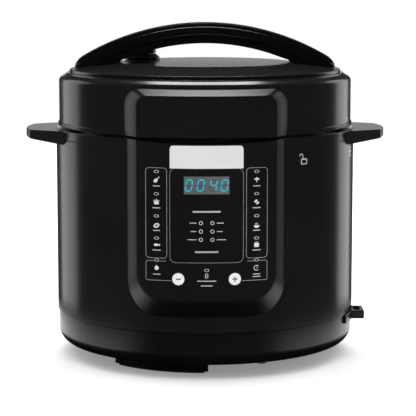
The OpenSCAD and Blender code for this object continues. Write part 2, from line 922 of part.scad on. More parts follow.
module lid_plate() {
    top_z = lid_bottom + 1.5;
    rise_out = 101;
    rise_in = 92;
    color(STEEL) difference() {
        union() {
            rotate_extrude() polygon([
                [0, plate_z], [rise_in, plate_z], [rise_out, top_z - plate_t], [skirt_in, top_z - plate_t],
                [skirt_in, lid_lug_z], [skirt_out, lid_lug_z], [skirt_out, top_z], [rise_out + 0.6, top_z],
                [rise_in + 0.6, plate_z + plate_t], [0, plate_z + plate_t]]);
            for (i = [0 : lug_count - 1])
                tube_arc(skirt_out - 0.5, lug_gap_r - run_gap / 2, lid_lug_z, lid_lug_z + 2,
                    360 / lug_count * i - lug_angle / 2, 360 / lug_count * i + lug_angle / 2);
            for (a = plate_post_angles)
                at_azimuth(a, plate_post_at, plate_z + 0.5)
                    cylinder(r = 4, h = plateau_z - dome_t - plate_z - 0.5);
        }
        translate([valve_at[0], valve_at[1], 200]) cylinder(r = 4.2, h = 60);
        translate([float_at[0], float_at[1], 200]) cylinder(r = 3.9, h = 60);
    }
}

module lid_plate_nuts() {
    color(STEEL)
        for (a = plate_post_angles)
            at_azimuth(a, plate_post_at, plate_z - 3) cylinder(r = 5, h = 3, $fn = 6);
}

module exhaust_pipe() {
    color(STEEL) translate([valve_at[0], valve_at[1], 0]) {
        difference() {
            union() {
                translate([0, 0, plate_z - 4]) cylinder(r = 4.2, h = 60);
                tube(4.2, 7, plate_z + plate_t, plate_z + plate_t + 4);
            }
            translate([0, 0, plate_z - 5]) cylinder(r = 1.6, h = 62);
        }
    }
}

module valve_collar() {
    neck_r = 8.4;
    round_r = 1.5;
    top = plateau_z + 5.5;
    color(BLACK) translate([valve_at[0], valve_at[1], 0]) {
        rotate_extrude() polygon(concat(
            [[neck_r, plateau_z], [valve_collar_r, plateau_z]],
            arc([valve_collar_r - round_r, top - round_r], round_r, 0, 90, 4),
            [[neck_r, top]]));
        tube(neck_r - 1.4, neck_r, plateau_z - 6, top);
    }
}

module steam_valve() {
    low = plateau_z + 6;
    foot_height = 5;
    grip_height = 11;
    groove_r = 1.4;
    color(BLACK) translate([valve_at[0], valve_at[1], 0]) difference() {
        union() {
            translate([0, 0, low]) cylinder(r = knob_r - 1, h = foot_height);
            translate([0, 0, low + foot_height]) cylinder(r = knob_r, h = grip_height);
        }
        translate([0, 0, low - cut]) cylinder(r = 4.6, h = 10);
        for (a = [0 : 30 : 330])
            rotate([0, 0, a]) translate([knob_r + 0.4, 0, low + foot_height + 2])
                cylinder(r = groove_r, h = grip_height);
    }
}

module anti_block_shield() {
    z0 = 217;
    color(STEEL) translate([valve_at[0], valve_at[1], 0]) difference() {
        union() {
            tube(13, 14, z0, plate_z);
            translate([0, 0, z0]) cylinder(r = 14, h = 1);
        }
        for (a = [0 : 30 : 150])
            rotate([0, 0, a]) slab(-20, 20, -1, 1, z0 + 3, plate_z - 4);
    }
}

module float_valve() {
    gasket_top = plate_z - float_rise - 0.4;
    color(SIGNAL_RED) translate([float_at[0], float_at[1], 0]) {
        translate([0, 0, gasket_top - 4]) cylinder(r = 6, h = 2.4);
        translate([0, 0, gasket_top - 4]) cylinder(r = 3.4, h = plateau_z - 4 - gasket_top + 4);
        translate([0, 0, plateau_z - 8]) cylinder(r = 5.8, h = 7);
    }
}

module float_seal() {
    gasket_top = plate_z - float_rise - 0.4;
    color(SILICONE) translate([float_at[0], float_at[1], 0])
        tube(3.4, 6.5, gasket_top - 1.6, gasket_top);
}

module seal_ring() {
    outer = skirt_in - 0.4;
    low = pot_top + 0.4;
    high = lid_bottom - run_gap;
    color(SILICONE) rotate_extrude() polygon([
        [outer, low], [outer, high], [103, high], [103, high - 2.4], [outer - 4, high - 2.4],
        [outer - 4, low + 2.4], [107, low + 1.6], [107, low]]);
}

module seal_rack() {
    color(STEEL) translate([0, 0, pot_top + 5.6])
        rotate_extrude() translate([skirt_in - 6.2, 0]) circle(r = 1.6);
}

outer_shell();
panel_bezel();
panel_overlay();
display_window();
display_module();
control_board();
key_switches();
indicator_leds();
minus_key();
plus_key();
rim_ring();
side_handle_left();
side_handle_right();
side_handle_screws();
liner();
base();
front_foot();
right_foot();
rear_foot();
foot_pads();
heating_plate();
heater_element();
plate_screws();
sensor_guide();
temp_sensor();
sensor_spring();
pressure_switch();
thermal_fuse();
power_board();
wiring();
power_inlet();
inlet_pins();
utensil_holder();
cup_housing();
condensate_cup();
base_screws();
board_screws();
inner_pot();
lid_ring();
lid_dome();
lid_panel();
lid_handle();
handle_cap();
lid_handle_screws();
lid_plate();
lid_plate_nuts();
exhaust_pipe();
valve_collar();
steam_valve();
anti_block_shield();
float_valve();
float_seal();
seal_ring();
seal_rack();
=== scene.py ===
import json
import math

import bmesh
import bpy
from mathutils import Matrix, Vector


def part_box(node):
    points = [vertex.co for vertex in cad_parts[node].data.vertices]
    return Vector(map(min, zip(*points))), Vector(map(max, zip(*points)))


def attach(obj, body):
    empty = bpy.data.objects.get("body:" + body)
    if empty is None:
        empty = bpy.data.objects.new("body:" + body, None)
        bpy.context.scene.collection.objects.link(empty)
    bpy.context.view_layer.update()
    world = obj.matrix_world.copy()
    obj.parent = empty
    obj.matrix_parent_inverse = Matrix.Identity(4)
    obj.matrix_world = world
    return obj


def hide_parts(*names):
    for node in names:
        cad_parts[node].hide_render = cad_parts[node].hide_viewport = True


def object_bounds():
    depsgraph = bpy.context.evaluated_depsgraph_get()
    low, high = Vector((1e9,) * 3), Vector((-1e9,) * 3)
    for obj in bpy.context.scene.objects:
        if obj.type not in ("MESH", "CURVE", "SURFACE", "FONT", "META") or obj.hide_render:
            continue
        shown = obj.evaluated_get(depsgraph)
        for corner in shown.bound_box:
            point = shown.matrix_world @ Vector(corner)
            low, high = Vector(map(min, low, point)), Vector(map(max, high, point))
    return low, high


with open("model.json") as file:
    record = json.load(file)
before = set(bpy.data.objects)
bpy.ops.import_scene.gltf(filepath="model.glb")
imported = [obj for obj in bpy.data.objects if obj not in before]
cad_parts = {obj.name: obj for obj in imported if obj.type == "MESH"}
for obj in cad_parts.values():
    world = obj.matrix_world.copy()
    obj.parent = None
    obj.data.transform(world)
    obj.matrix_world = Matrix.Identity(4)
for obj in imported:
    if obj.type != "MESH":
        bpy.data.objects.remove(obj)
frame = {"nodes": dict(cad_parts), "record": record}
CAD_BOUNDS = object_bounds()

# ---------------------------------------------------------------- sizes, in millimetres
MM = 0.001
TAU = 2 * math.pi


def node_box(node):
    """A node's two corners in millimetres."""
    low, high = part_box(node)
    return low / MM, high / MM


def node_middle(node):
    """The middle of a node's box, seen from above."""
    low, high = node_box(node)
    return (low.x + high.x) / 2, (low.y + high.y) / 2


SHELL_LOW, SHELL_HIGH = node_box("outer_shell")
RIM_LOW, RIM_HIGH = node_box("rim_ring")
BASE_LOW, BASE_HIGH = node_box("base")
LID_LOW, LID_HIGH = node_box("lid_ring")
DOME_HIGH = node_box("lid_dome")[1]
CAP_HIGH = node_box("handle_cap")[1]
WINDOW_LOW, WINDOW_HIGH = node_box("display_window")
GRIP_LOW, GRIP_HIGH = node_box("side_handle_right")
POT_LOW, POT_HIGH = node_box("inner_pot")

BODY_R = SHELL_HIGH.x
WALL = 2.6
SEAM = 0.4
BASE_R = BASE_HIGH.x
LID_LIP = 1.0
LID_R = LID_HIGH.x - LID_LIP
DOME_R = DOME_HIGH.x
FACE_R = CAD_BOUNDS[1][1] / MM

# The control panel block: outline where it leaves the body, and outline of its face
PANEL_FOOT = dict(half=30.0, low=58.0, high=261.0, corner_low=33, corner_high=14)
PANEL_FACE = dict(half=23.8, low=74.5, high=255.6, corner_low=22, corner_high=9)
PANEL_TOP = RIM_HIGH.z
PANEL_BOW = 2.5
# How many steps the block's outline has along its width, round a corner and up a side
ACROSS, CORNER, SIDE = 24, 10, 16
PRINT_LIFT = 0.07
# The joint between the two halves of the lid's handle: radius and height of the arc
JOINT_R, JOINT_TOP = 200, 303

# ---------------------------------------------------------------- materials


def node_tree(name):
    """A fresh material with its node tree and Principled shader."""
    mat = bpy.data.materials.new(name)
    mat.use_nodes = True
    return mat, mat.node_tree, mat.node_tree.nodes["Principled BSDF"]


def feed(node, inputs):
    """Sets a node's inputs: another node's output is linked, anything else becomes the value."""
    for key, value in inputs.items():
        if isinstance(value, bpy.types.NodeSocket):
            node.id_data.links.new(value, node.inputs[key])
        else:
            node.inputs[key].default_value = value


def noise(tree, scale, detail=2.0, stretch=(1, 1, 1)):
    """3-D noise in the object's own space, in cycles per metre."""
    coords = tree.nodes.new("ShaderNodeTexCoord")
    mapping = tree.nodes.new("ShaderNodeMapping")
    feed(mapping, {"Vector": coords.outputs["Object"], "Scale": stretch})
    texture = tree.nodes.new("ShaderNodeTexNoise")
    feed(texture, {"Vector": mapping.outputs["Vector"], "Scale": scale, "Detail": detail})
    return texture.outputs["Fac"]


def mapped(tree, source, start, end, low, high, smooth_step=False):
    """Maps start..end to low..high, on a straight line or an S-shaped one."""
    node = tree.nodes.new("ShaderNodeMapRange")
    if smooth_step:
        node.interpolation_type = "SMOOTHSTEP"
    feed(node, {"Value": source, "From Min": start, "From Max": end, "To Min": low, "To Max": high})
    return node.outputs["Result"]


def spread(tree, source, low, high):
    """Maps the middle of a noise's range to low..high."""
    return mapped(tree, source, 0.3, 0.7, low, high)


def arithmetic(tree, operation, first, second):
    """The result of one operation on two values, each a number or another node's output."""
    node = tree.nodes.new("ShaderNodeMath")
    node.operation = operation
    feed(node, {0: first, 1: second})
    return node.outputs["Value"]


def tint(tree, source, dark, light):
    """Blends two colours by a 0..1 value."""
    node = tree.nodes.new("ShaderNodeMix")
    node.data_type = "RGBA"
    feed(node, {"Factor": source, "A": (*dark, 1), "B": (*light, 1)})
    return node.outputs["Result"]


def drift(tree, source, dark, light):
    """A colour that drifts between two others with a noise."""
    return tint(tree, spread(tree, source, 0, 1), dark, light)


def bump(tree, height, strength, distance):
    """Surface relief of that depth in millimetres."""
    node = tree.nodes.new("ShaderNodeBump")
    feed(node, {"Height": height, "Strength": strength, "Distance": distance * MM})
    return node.outputs["Normal"]


def moulded(name, dark, light, rough, grain, depth, specular=0.5):
    """Moulded plastic, rubber or coating: faint colour drift, uneven gloss and a fine surface grain."""
    mat, tree, shader = node_tree(name)
    colour = drift(tree, noise(tree, 18.0, 3.0), dark, light)
    fine = noise(tree, grain)
    feed(shader, {"Base Color": colour, "Roughness": spread(tree, fine, rough * 0.88, rough * 1.12),
                  "Specular IOR Level": specular, "Normal": bump(tree, fine, 0.3, depth)})
    return mat


def brushed(name, colour, rough, stretch, scale=900.0):
    """Metal with fine drawn lines along one direction."""
    mat, tree, shader = node_tree(name)
    lines = noise(tree, scale, 3.0, stretch)
    dark = tuple(c * 0.8 for c in colour)
    feed(shader, {"Base Color": drift(tree, lines, dark, colour),
                  "Roughness": spread(tree, lines, rough * 0.8, rough * 1.25),
                  "Metallic": 1.0, "Normal": bump(tree, lines, 0.15, 0.02)})
    return mat


def speckled(name, base, fleck, rough):
    """Non-stick coating with small lighter flecks."""
    mat, tree, shader = node_tree(name)
    coords = tree.nodes.new("ShaderNodeTexCoord")
    cells = tree.nodes.new("ShaderNodeTexVoronoi")
    feed(cells, {"Vector": coords.outputs["Object"], "Scale": 420.0})
    flecks = arithmetic(tree, "LESS_THAN", cells.outputs["Distance"], 0.13)
    fine = noise(tree, 1500.0)
    feed(shader, {"Base Color": tint(tree, flecks, base, fleck),
                  "Roughness": spread(tree, fine, rough * 0.85, rough * 1.15),
                  "Normal": bump(tree, fine, 0.2, 0.03)})
    return mat


def glowing(name, colour, strength):
    """Lit digits: an emissive colour with a faint cell structure."""
    mat, tree, shader = node_tree(name)
    bright = tuple(min(1.0, c * 1.15) for c in colour)
    mixed = drift(tree, noise(tree, 900.0), colour, bright)
    feed(shader, {"Base Color": mixed, "Emission Color": mixed, "Emission Strength": strength,
                  "Roughness": 0.4})
    return mat


def translucent(name, colour, rough):
    """Smoked see-through plastic."""
    mat, tree, shader = node_tree(name)
    fine = noise(tree, 700.0)
    feed(shader, {"Base Color": drift(tree, fine, colour, tuple(c * 1.1 for c in colour)),
                  "Roughness": spread(tree, fine, rough * 0.9, rough * 1.1),
                  "Transmission Weight": 0.75, "IOR": 1.46})
    return mat


def grey(level, blue=None):
    """A grey, with a blue value of its own where it is warm or cool."""
    return (level, level, level if blue is None else blue)


# How strongly the black plastics mirror
SATIN = 0.42

MATERIALS = {
    "black_plastic": moulded("gloss_black", grey(0.0050, 0.0053), grey(0.0070, 0.0074), 0.20, 2600.0,
                             0.010, SATIN),
    "base_plastic": moulded("base_black", grey(0.0025, 0.0027), grey(0.004, 0.0043), 0.27, 2600.0,
                            0.012, SATIN),
    "lid_plastic": moulded("dome_black", grey(0.0025, 0.0027), grey(0.004, 0.0042), 0.26, 2200.0,
                           0.02, SATIN),
    "handle_black": moulded("handle_satin_black", grey(0.0014, 0.0015), grey(0.0024, 0.0026), 0.25, 2200.0,
                            0.012, SATIN),
    "grip_black": moulded("grip_satin_black", grey(0.008, 0.0085), grey(0.011, 0.0115), 0.27, 2200.0,
                          0.012, specular=0.38),
    "panel_side": moulded("panel_side_black", grey(0.0015, 0.0016), grey(0.0025, 0.0027), 0.32, 2600.0,
                          0.012, SATIN),
    "panel_film": moulded("panel_film_black", grey(0.0048, 0.0045), grey(0.0064, 0.0060), 0.38, 3000.0,
                          0.008, specular=0.3),
    "display_lens": moulded("smoked_lens", (0.085, 0.098, 0.098), (0.125, 0.135, 0.135), 0.12, 1500.0,
                            0.004, specular=0.5),
    "key_white": moulded("key_white", grey(0.80), grey(0.86), 0.35, 2500.0, 0.01),
    "print_white": moulded("print_white", grey(0.62, 0.61), grey(0.72, 0.71), 0.5, 2500.0, 0.01),
    "caption_grey": moulded("caption_grey", grey(0.36, 0.355), grey(0.46, 0.455), 0.5, 2500.0, 0.01),
    "print_grey": moulded("print_grey", grey(0.22), grey(0.30), 0.5, 2500.0, 0.01),
    "label_white": moulded("label_white", grey(0.66, 0.655), grey(0.72, 0.715), 0.42, 1800.0, 0.01),
    "key_symbol": moulded("key_symbol", grey(0.05), grey(0.08), 0.5, 2500.0, 0.01),
    "digits": glowing("lit_digits", (0.0, 0.21, 0.30), 1.0),
    "digits_off": moulded("unlit_digits", (0.05, 0.07, 0.08), (0.07, 0.09, 0.10), 0.3, 1500.0, 0.004),
    "inner_black": moulded("inner_black", grey(0.03), grey(0.05), 0.55, 1500.0, 0.03),
    "inner_white": moulded("inner_white", grey(0.78, 0.74), grey(0.86, 0.82), 0.5, 1500.0, 0.02),
    "circuit_board": moulded("circuit_board", (0.01, 0.12, 0.04), (0.02, 0.17, 0.06), 0.35, 600.0, 0.05),
    "wire_insulation": moulded("wire_insulation", (0.12, 0.09, 0.09), (0.16, 0.12, 0.12), 0.45, 900.0, 0.02),
    "foot_rubber": moulded("foot_rubber", grey(0.02), grey(0.035), 0.75, 1400.0, 0.05),
    "silicone": moulded("silicone", grey(0.62, 0.60), grey(0.70, 0.68), 0.42, 900.0, 0.03),
    "float_red": moulded("float_red", (0.45, 0.02, 0.015), (0.55, 0.03, 0.02), 0.35, 1800.0, 0.01),
    "clear_plastic": translucent("smoked_clear", (0.55, 0.58, 0.62), 0.25),
    "liner_steel": brushed("liner_steel", grey(0.62, 0.63), 0.28, (1, 1, 30)),
    "fastener_steel": brushed("fastener_steel", grey(0.58, 0.57), 0.3, (1, 1, 1), 1400.0),
    "cast_aluminium": brushed("cast_aluminium", grey(0.60, 0.61), 0.38, (1, 1, 1), 700.0),
    "contact_brass": brushed("contact_brass", (0.72, 0.58, 0.33), 0.25, (1, 1, 8)),
    "pot_coating": speckled("pot_coating", grey(0.018, 0.019), grey(0.16, 0.165), 0.38),
}

# ---------------------------------------------------------------- mesh helpers


def add_object(name, data):
    """Puts a mesh, a light or a camera into the scene."""
    obj = bpy.data.objects.new(name, data)
    bpy.context.scene.collection.objects.link(obj)
    return obj


def smooth(mesh, sharp=None):
    """Smooth shading, with hard edges where faces meet at more than that many degrees."""
    for polygon in mesh.polygons:
        polygon.use_smooth = True
    if sharp is not None:
        mesh.set_sharp_from_angle(angle=math.radians(sharp))


def piece(name, mesh, material, body="housing", replaced=(), sharp=32.0, more=()):
    """Links a finished mesh as a visible piece of the object."""
    mesh.validate()
    obj = add_object(name, mesh)
    for key in (material, *more):
        mesh.materials.append(MATERIALS[key])
    smooth(mesh, sharp)
    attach(obj, body)
    if replaced:
        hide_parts(*replaced)
    return obj


def mesh_from(name, verts, faces):
    """A clean mesh, in metres, from points in millimetres."""
    mesh = bpy.data.meshes.new(name)
    mesh.from_pydata([tuple(c * MM for c in v) for v in verts], [], faces)
    tidy = bmesh.new()
    tidy.from_mesh(mesh)
    bmesh.ops.remove_doubles(tidy, verts=tidy.verts, dist=1e-6)
    bmesh.ops.recalc_face_normals(tidy, faces=tidy.faces)
    tidy.to_mesh(mesh)
    tidy.free()
    return mesh


def apply_modifiers(obj):
    """Bakes an object's modifiers into its mesh."""
    bpy.context.view_layer.update()
    graph = bpy.context.evaluated_depsgraph_get()
    baked = bpy.data.meshes.new_from_object(obj.evaluated_get(graph))
    obj.modifiers.clear()
    obj.data = baked


def soften(obj, width, segments=3, angle=30.0):
    """Rounds an object's sharp edges and evens out its normals."""
    bevel = obj.modifiers.new("edges", "BEVEL")
    bevel.width = width * MM
    bevel.segments = segments
    bevel.limit_method = "ANGLE"
    bevel.angle_limit = math.radians(angle)
    apply_modifiers(obj)
    smooth(obj.data)
    even_normals(obj)


def even_normals(obj):
    """Shades large faces flat up to their rounded edges."""
    weighted = obj.modifiers.new("normals", "WEIGHTED_NORMAL")
    weighted.keep_sharp = True
    weighted.weight = 100


def cut_away(obj, cutters):
    """Subtracts closed meshes from an object."""
    for mesh in cutters:
        tool = add_object("cutter", mesh)
        step = obj.modifiers.new("cut", "BOOLEAN")
        step.operation = "DIFFERENCE"
        step.solver = "EXACT"
        step.object = tool
        apply_modifiers(obj)
        bpy.data.objects.remove(tool)
    obj.data.set_sharp_from_angle(angle=math.radians(32))


def rounded(corners, steps=6):
    """A closed outline from (a, b, radius) corners, each rounded with an arc of that radius."""
    points = []
    count = len(corners)
    for i, (a, b, radius) in enumerate(corners):
        here = Vector((a, b))
        before = Vector(corners[i - 1][:2])
        after = Vector(corners[(i + 1) % count][:2])
        if radius <= 0:
            points.append(tuple(here))
            continue
        to_before = (before - here).normalized()
        to_after = (after - here).normalized()
        half = to_before.angle(to_after) / 2
        reach = radius / math.tan(half)
        centre = here + (to_before + to_after).normalized() * (radius / math.sin(half))
        start = here + to_before * reach - centre
        turn = (here + to_after * reach - centre).angle_signed(start)
        for k in range(steps + 1):
            angle = turn * k / steps
            c, s = math.cos(angle), math.sin(angle)
            points.append((centre.x + start.x * c - start.y * s, centre.y + start.x * s + start.y * c))
    return points


def ring_faces(rings, size):
    """Faces that join each closed ring of points with the next one."""
    return [(k * size + i, k * size + (i + 1) % size, (k + 1) * size + (i + 1) % size, (k + 1) * size + i)
            for k in range(rings - 1) for i in range(size)]


def lathe(name, outline, steps=256, centre=(0, 0)):
    """Turns a closed outline of (radius, height) points about an upright axis."""
    verts = []
    for k in range(steps):
        c, s = math.cos(TAU * k / steps), math.sin(TAU * k / steps)
        verts += [(centre[0] + r * c, centre[1] + r * s, z) for r, z in outline]
    size = len(outline)
    faces = []
    for k in range(steps):
        here, there = k * size, (k + 1) % steps * size
        for i in range(size):
            j = (i + 1) % size
            if outline[i][0] < 1e-9 and outline[j][0] < 1e-9:
                continue
            faces.append((here + i, here + j, there + j, there + i))
    return mesh_from(name, verts, faces)


def turned(name, outline, material, body, replaced, steps=256, centre=(0, 0)):
    """A piece of the object that is turned on a lathe."""
    return piece(name, lathe(name, outline, steps, centre), material, body, replaced)


def capped(name, rings):
    """A solid from closed rings with the same number of points, with both ends closed."""
    size = len(rings[0])
    verts = [p for ring in rings for p in ring]
    faces = [tuple(range(size)), tuple(range(len(verts) - 1, len(verts) - size - 1, -1))]
    return mesh_from(name, verts, faces + ring_faces(len(rings), size))


def prism(name, outline, low, high, axis="z"):
    """Extrudes a closed outline between two places along Z or Y."""
    if axis == "y":
        return capped(name, [[(a, c, b) for a, b in outline] for c in (low, high)])
    return capped(name, [[(a, b, c) for a, b in outline] for c in (low, high)])


def block(low, high):
    """A box between two corners, as a cutter or a start for a bevelled piece."""
    outline = [(low[0], low[1]), (high[0], low[1]), (high[0], high[1]), (low[0], high[1])]
    return prism("block", outline, low[2], high[2])


def evenly(start, end, steps):
    """Values from start to end in that many equal steps."""
    return [start + (end - start) * k / steps for k in range(steps + 1)]


def circle_points(x, y, radius, steps=24, squash=1.0):
    """A circle's outline, or an oval's with squash as its height for a width of 1."""
    return [(x + radius * math.cos(TAU * k / steps), y + squash * radius * math.sin(TAU * k / steps))
            for k in range(steps)]


def arc_points(x, z, across, up, degrees):
    """Points of an ellipse round (x, z) at those angles."""
    return [(x + across * math.cos(math.radians(a)), z + up * math.sin(math.radians(a))) for a in degrees]


def pill(x0, x1, y0, y1, radius, steps=5):
    """A rounded rectangle's outline."""
    return rounded([(x0, y0, radius), (x1, y0, radius), (x1, y1, radius), (x0, y1, radius)], steps)


# ---------------------------------------------------------------- the control panel block


def panel_ring(shape, radius):
    """The block's outline at one radius as (azimuth, height, radius), counter-clockwise from lower left."""
    half, low, high = shape["half"], shape["low"], shape["high"]
    per_mm = math.degrees(1 / FACE_R)
    flat_low = half - shape["corner_low"] * per_mm
    flat_high = half - shape["corner_high"] * per_mm
    right = panel_side(shape, per_mm)
    ring = [(a, low) for a in evenly(-flat_low, flat_low, ACROSS)] + right
    ring += [(a, high) for a in evenly(flat_high, -flat_high, ACROSS)[1:]]
    ring += [(-a, z) for a, z in reversed(right[:-1])]
    return [(a, z, radius) for a, z in ring]


def panel_side(shape, per_mm):
    """Right-hand side of the outline, from after the bottom row's end to the top row's start."""
    half, low, high = shape["half"], shape["low"], shape["high"]
    below, above = shape["corner_low"], shape["corner_high"]
    turns = evenly(0, math.pi / 2, CORNER)[1:]
    points = [(half - below * per_mm * (1 - math.sin(a)), low + below * (1 - math.cos(a))) for a in turns]
    points += [(half, z) for z in evenly(low + below, high - above, SIDE)[1:]]
    points += [(half - above * per_mm * (1 - math.cos(a)), high - above * (1 - math.sin(a))) for a in turns]
    return points


def mix_rings(first, second, t):
    """The ring a share t of the way from first to second."""
    return [tuple(p + (q - p) * t for p, q in zip(a, b)) for a, b in zip(first, second)]


def curve_rings(first, corner, last, steps):
    """Rings on a quadratic curve from first to last, pulled towards corner."""
    rings = []
    for k in range(1, steps + 1):
        t = k / steps
        rings.append(mix_rings(mix_rings(first, corner, t), mix_rings(corner, last, t), t))
    return rings


def panel_block(name, foot, face, root_r, bow=0.0):
    """The raised block: a tapered wall from root_r to the face, a soft edge, and a round face."""
    inset = 1.6
    bow_height = 25
    turn_in = math.degrees(inset / FACE_R)
    step = {end: 0.5 if face[end] == foot[end] else inset for end in ("low", "high")}
    inner = dict(face, half=face["half"] - turn_in, low=face["low"] + step["low"],
                 high=face["high"] - step["high"], corner_low=max(face["corner_low"] - inset, 0),
                 corner_high=max(face["corner_high"] - inset, 0))
    wall_low = panel_ring(foot, BODY_R)
    wall_high = panel_ring(face, FACE_R)
    root = (root_r - BODY_R) / (FACE_R - BODY_R)
    rings = [mix_rings(wall_low, wall_high, root)]
    near_edge = mix_rings(wall_low, wall_high, 0.88)
    rings.append(mix_rings(wall_low, wall_high, 0.45))
    rings.append(near_edge)
    rings += curve_rings(near_edge, wall_high, panel_ring(inner, FACE_R), 5)

    half_width = FACE_R * math.sin(math.radians(face["half"]))

    def place(a, z, r):
        x = r * math.sin(math.radians(a))
        share = max(0.0, min(1.0, (z - PANEL_TOP + bow_height) / bow_height))
        sag = bow * share * max(0.0, 1 - (x / half_width) ** 2)
        return (x, -r * math.cos(math.radians(a)), z - sag)

    size = len(rings[0])
    verts = [place(*p) for ring in rings for p in ring]
    faces = ring_faces(len(rings), size)
    rows = 2 * CORNER + SIDE
    for ring_index in (len(rings) - 1, 0):
        start = ring_index * size
        ring = rings[ring_index]
        grid = [[start + i for i in range(ACROSS + 1)]]
        for j in range(1, rows):
            right = start + ACROSS + j
            left = start + size - j
            line = [left]
            for i in range(1, ACROSS):
                a = ring[left - start][0] + (ring[right - start][0] - ring[left - start][0]) * i / ACROSS
                verts.append(place(a, ring[right - start][1], ring[0][2]))
                line.append(len(verts) - 1)
            line.append(right)
            grid.append(line)
        top = start + ACROSS + rows
        grid.append([top + ACROSS - i for i in range(ACROSS + 1)])
        for j in range(rows):
            for i in range(ACROSS):
                faces.append((grid[j][i], grid[j][i + 1], grid[j + 1][i + 1], grid[j + 1][i]))
    return mesh_from(name, verts, faces)


def on_face(x, z, lift=0.0):
    """The point of the panel's face seen straight from the front at (x, z)."""
    r = FACE_R + lift
    return (x, -math.sqrt(r * r - x * x), z)


# ---------------------------------------------------------------- printing on the panel


class Print:
    """Collects flat shapes printed on a round surface and makes one thin closed mesh of them."""

    def __init__(self, place):
        self.place = place
        self.verts = []
        self.faces = []

    def ribbon(self, inner, outer, closed=True):
        """A band between two outlines with the same number of points."""
        start = len(self.verts)
        size = len(inner)
        for lift in (-PRINT_LIFT, PRINT_LIFT):
            for line in (inner, outer):
                self.verts += [self.place(a, b, lift) for a, b in line]
        low_in, low_out, high_in, high_out = (start + size * k for k in range(4))
        for i in range(size if closed else size - 1):
            j = (i + 1) % size
            self.faces.append((high_in + i, high_in + j, high_out + j, high_out + i))
            self.faces.append((low_in + i, low_out + i, low_out + j, low_in + j))
            self.faces.append((low_in + i, low_in + j, high_in + j, high_in + i))
            self.faces.append((low_out + i, high_out + i, high_out + j, low_out + j))
        if not closed:
            for i in (0, size - 1):
                self.faces.append((low_in + i, high_in + i, high_out + i, low_out + i))

    def area(self, outline):
        """A filled shape."""
        start = len(self.verts)
        size = len(outline)
        for lift in (-PRINT_LIFT, PRINT_LIFT):
            self.verts += [self.place(a, b, lift) for a, b in outline]
        self.faces.append(tuple(start + size + i for i in range(size)))
        self.faces.append(tuple(start + i for i in reversed(range(size))))
        for i in range(size):
            j = (i + 1) % size
            self.faces.append((start + i, start + j, start + size + j, start + size + i))

    def bar(self, x, z, half_width, height):
        steps = max(2, round(half_width / 1.2))
        self.line([(a, z) for a in evenly(x - half_width, x + half_width, steps)], height)

    def field(self, x0, x1, low, high, steps=32):
        """A filled band between a level lower edge and an upper edge given by a function of x."""
        across = evenly(x0, x1, steps)
        self.ribbon([(x, low) for x in across], [(x, high(x)) for x in across], closed=False)

    def line(self, points, width):
        """An open line of constant width."""
        left, right = [], []
        for i, point in enumerate(points):
            before = Vector(points[max(i - 1, 0)])
            after = Vector(points[min(i + 1, len(points) - 1)])
            along = (after - before).normalized()
            across = Vector((-along.y, along.x)) * width / 2
            left.append(tuple(Vector(point) + across))
            right.append(tuple(Vector(point) - across))
        self.ribbon(left, right, closed=False)

    def frame(self, x0, x1, z0, z1, radius, width):
        """A rounded rectangle drawn with a line of that width."""
        half = width / 2
        inner = pill(x0 + half, x1 - half, z0 + half, z1 - half, radius - half)
        outer = pill(x0 - half, x1 + half, z0 - half, z1 + half, radius + half)
        self.ribbon(dense(inner), dense(outer))

    def ring(self, x, z, radius, width, squash=1.0):
        self.ribbon(circle_points(x, z, radius - width / 2, 24, squash),
                    circle_points(x, z, radius + width / 2, 24, squash))

    def disc(self, x, z, radius, squash=1.0):
        self.area(circle_points(x, z, radius, 20, squash))

    def finish(self, name, material, body="housing", slot="panel_film", replaced=()):
        piece(name, mesh_from(name, self.verts, self.faces), material, body, replaced)


def dense(points, closed=True, pieces=8, longest=4):
    """Adds points along the long straight stretches, so that a band can follow a round surface."""
    out = []
    for first, second in zip(points, points[1:] + (points[:1] if closed else [])):
        count = pieces if math.dist(first, second) > longest else 1
        out += [tuple(p + (q - p) * k / count for p, q in zip(first, second)) for k in range(count)]
    return out if closed else out + [points[-1]]


# ---------------------------------------------------------------- housing


def make_shell():
    """Round wall of the housing, with the opening for the condensate cup at the rear."""
    inner = BODY_R - WALL
    outline = rounded([(inner, SHELL_LOW.z, 0), (BODY_R, SHELL_LOW.z, 0.5),
                       (BODY_R, SHELL_HIGH.z, 0.5), (inner, SHELL_HIGH.z, 0)], 3)
    shell = turned("housing_wall", outline, "black_plastic", "housing", ["outer_shell"])
    low, high = node_box("cup_housing")
    inside, behind = 100, 200
    cut_away(shell, [block((low.x, inside, low.z), (high.x, behind, high.z))])
    even_normals(shell)


def make_rim():
    """Band under the lid's seam, with its trough and the lip that enters the wall."""
    fin, lip = 1.6, 2.0
    r_in = node_box("liner")[1].x + 0.6
    wall_in = BODY_R - WALL
    top = RIM_HIGH.z
    outline = rounded([
        (BODY_R, SHELL_HIGH.z + SEAM, 0.4), (BODY_R, top, 0.8), (r_in, top, 0.5),
        (r_in, RIM_LOW.z, 0), (r_in + fin, RIM_LOW.z, 0), (r_in + fin, top - WALL, 0),
        (wall_in - lip, top - WALL, 0), (wall_in - lip, SHELL_HIGH.z - 5, 0),
        (wall_in, SHELL_HIGH.z - 5, 0), (wall_in, SHELL_HIGH.z + SEAM, 0)], 4)
    even_normals(turned("rim_band", outline, "black_plastic", "housing", ["rim_ring"]))


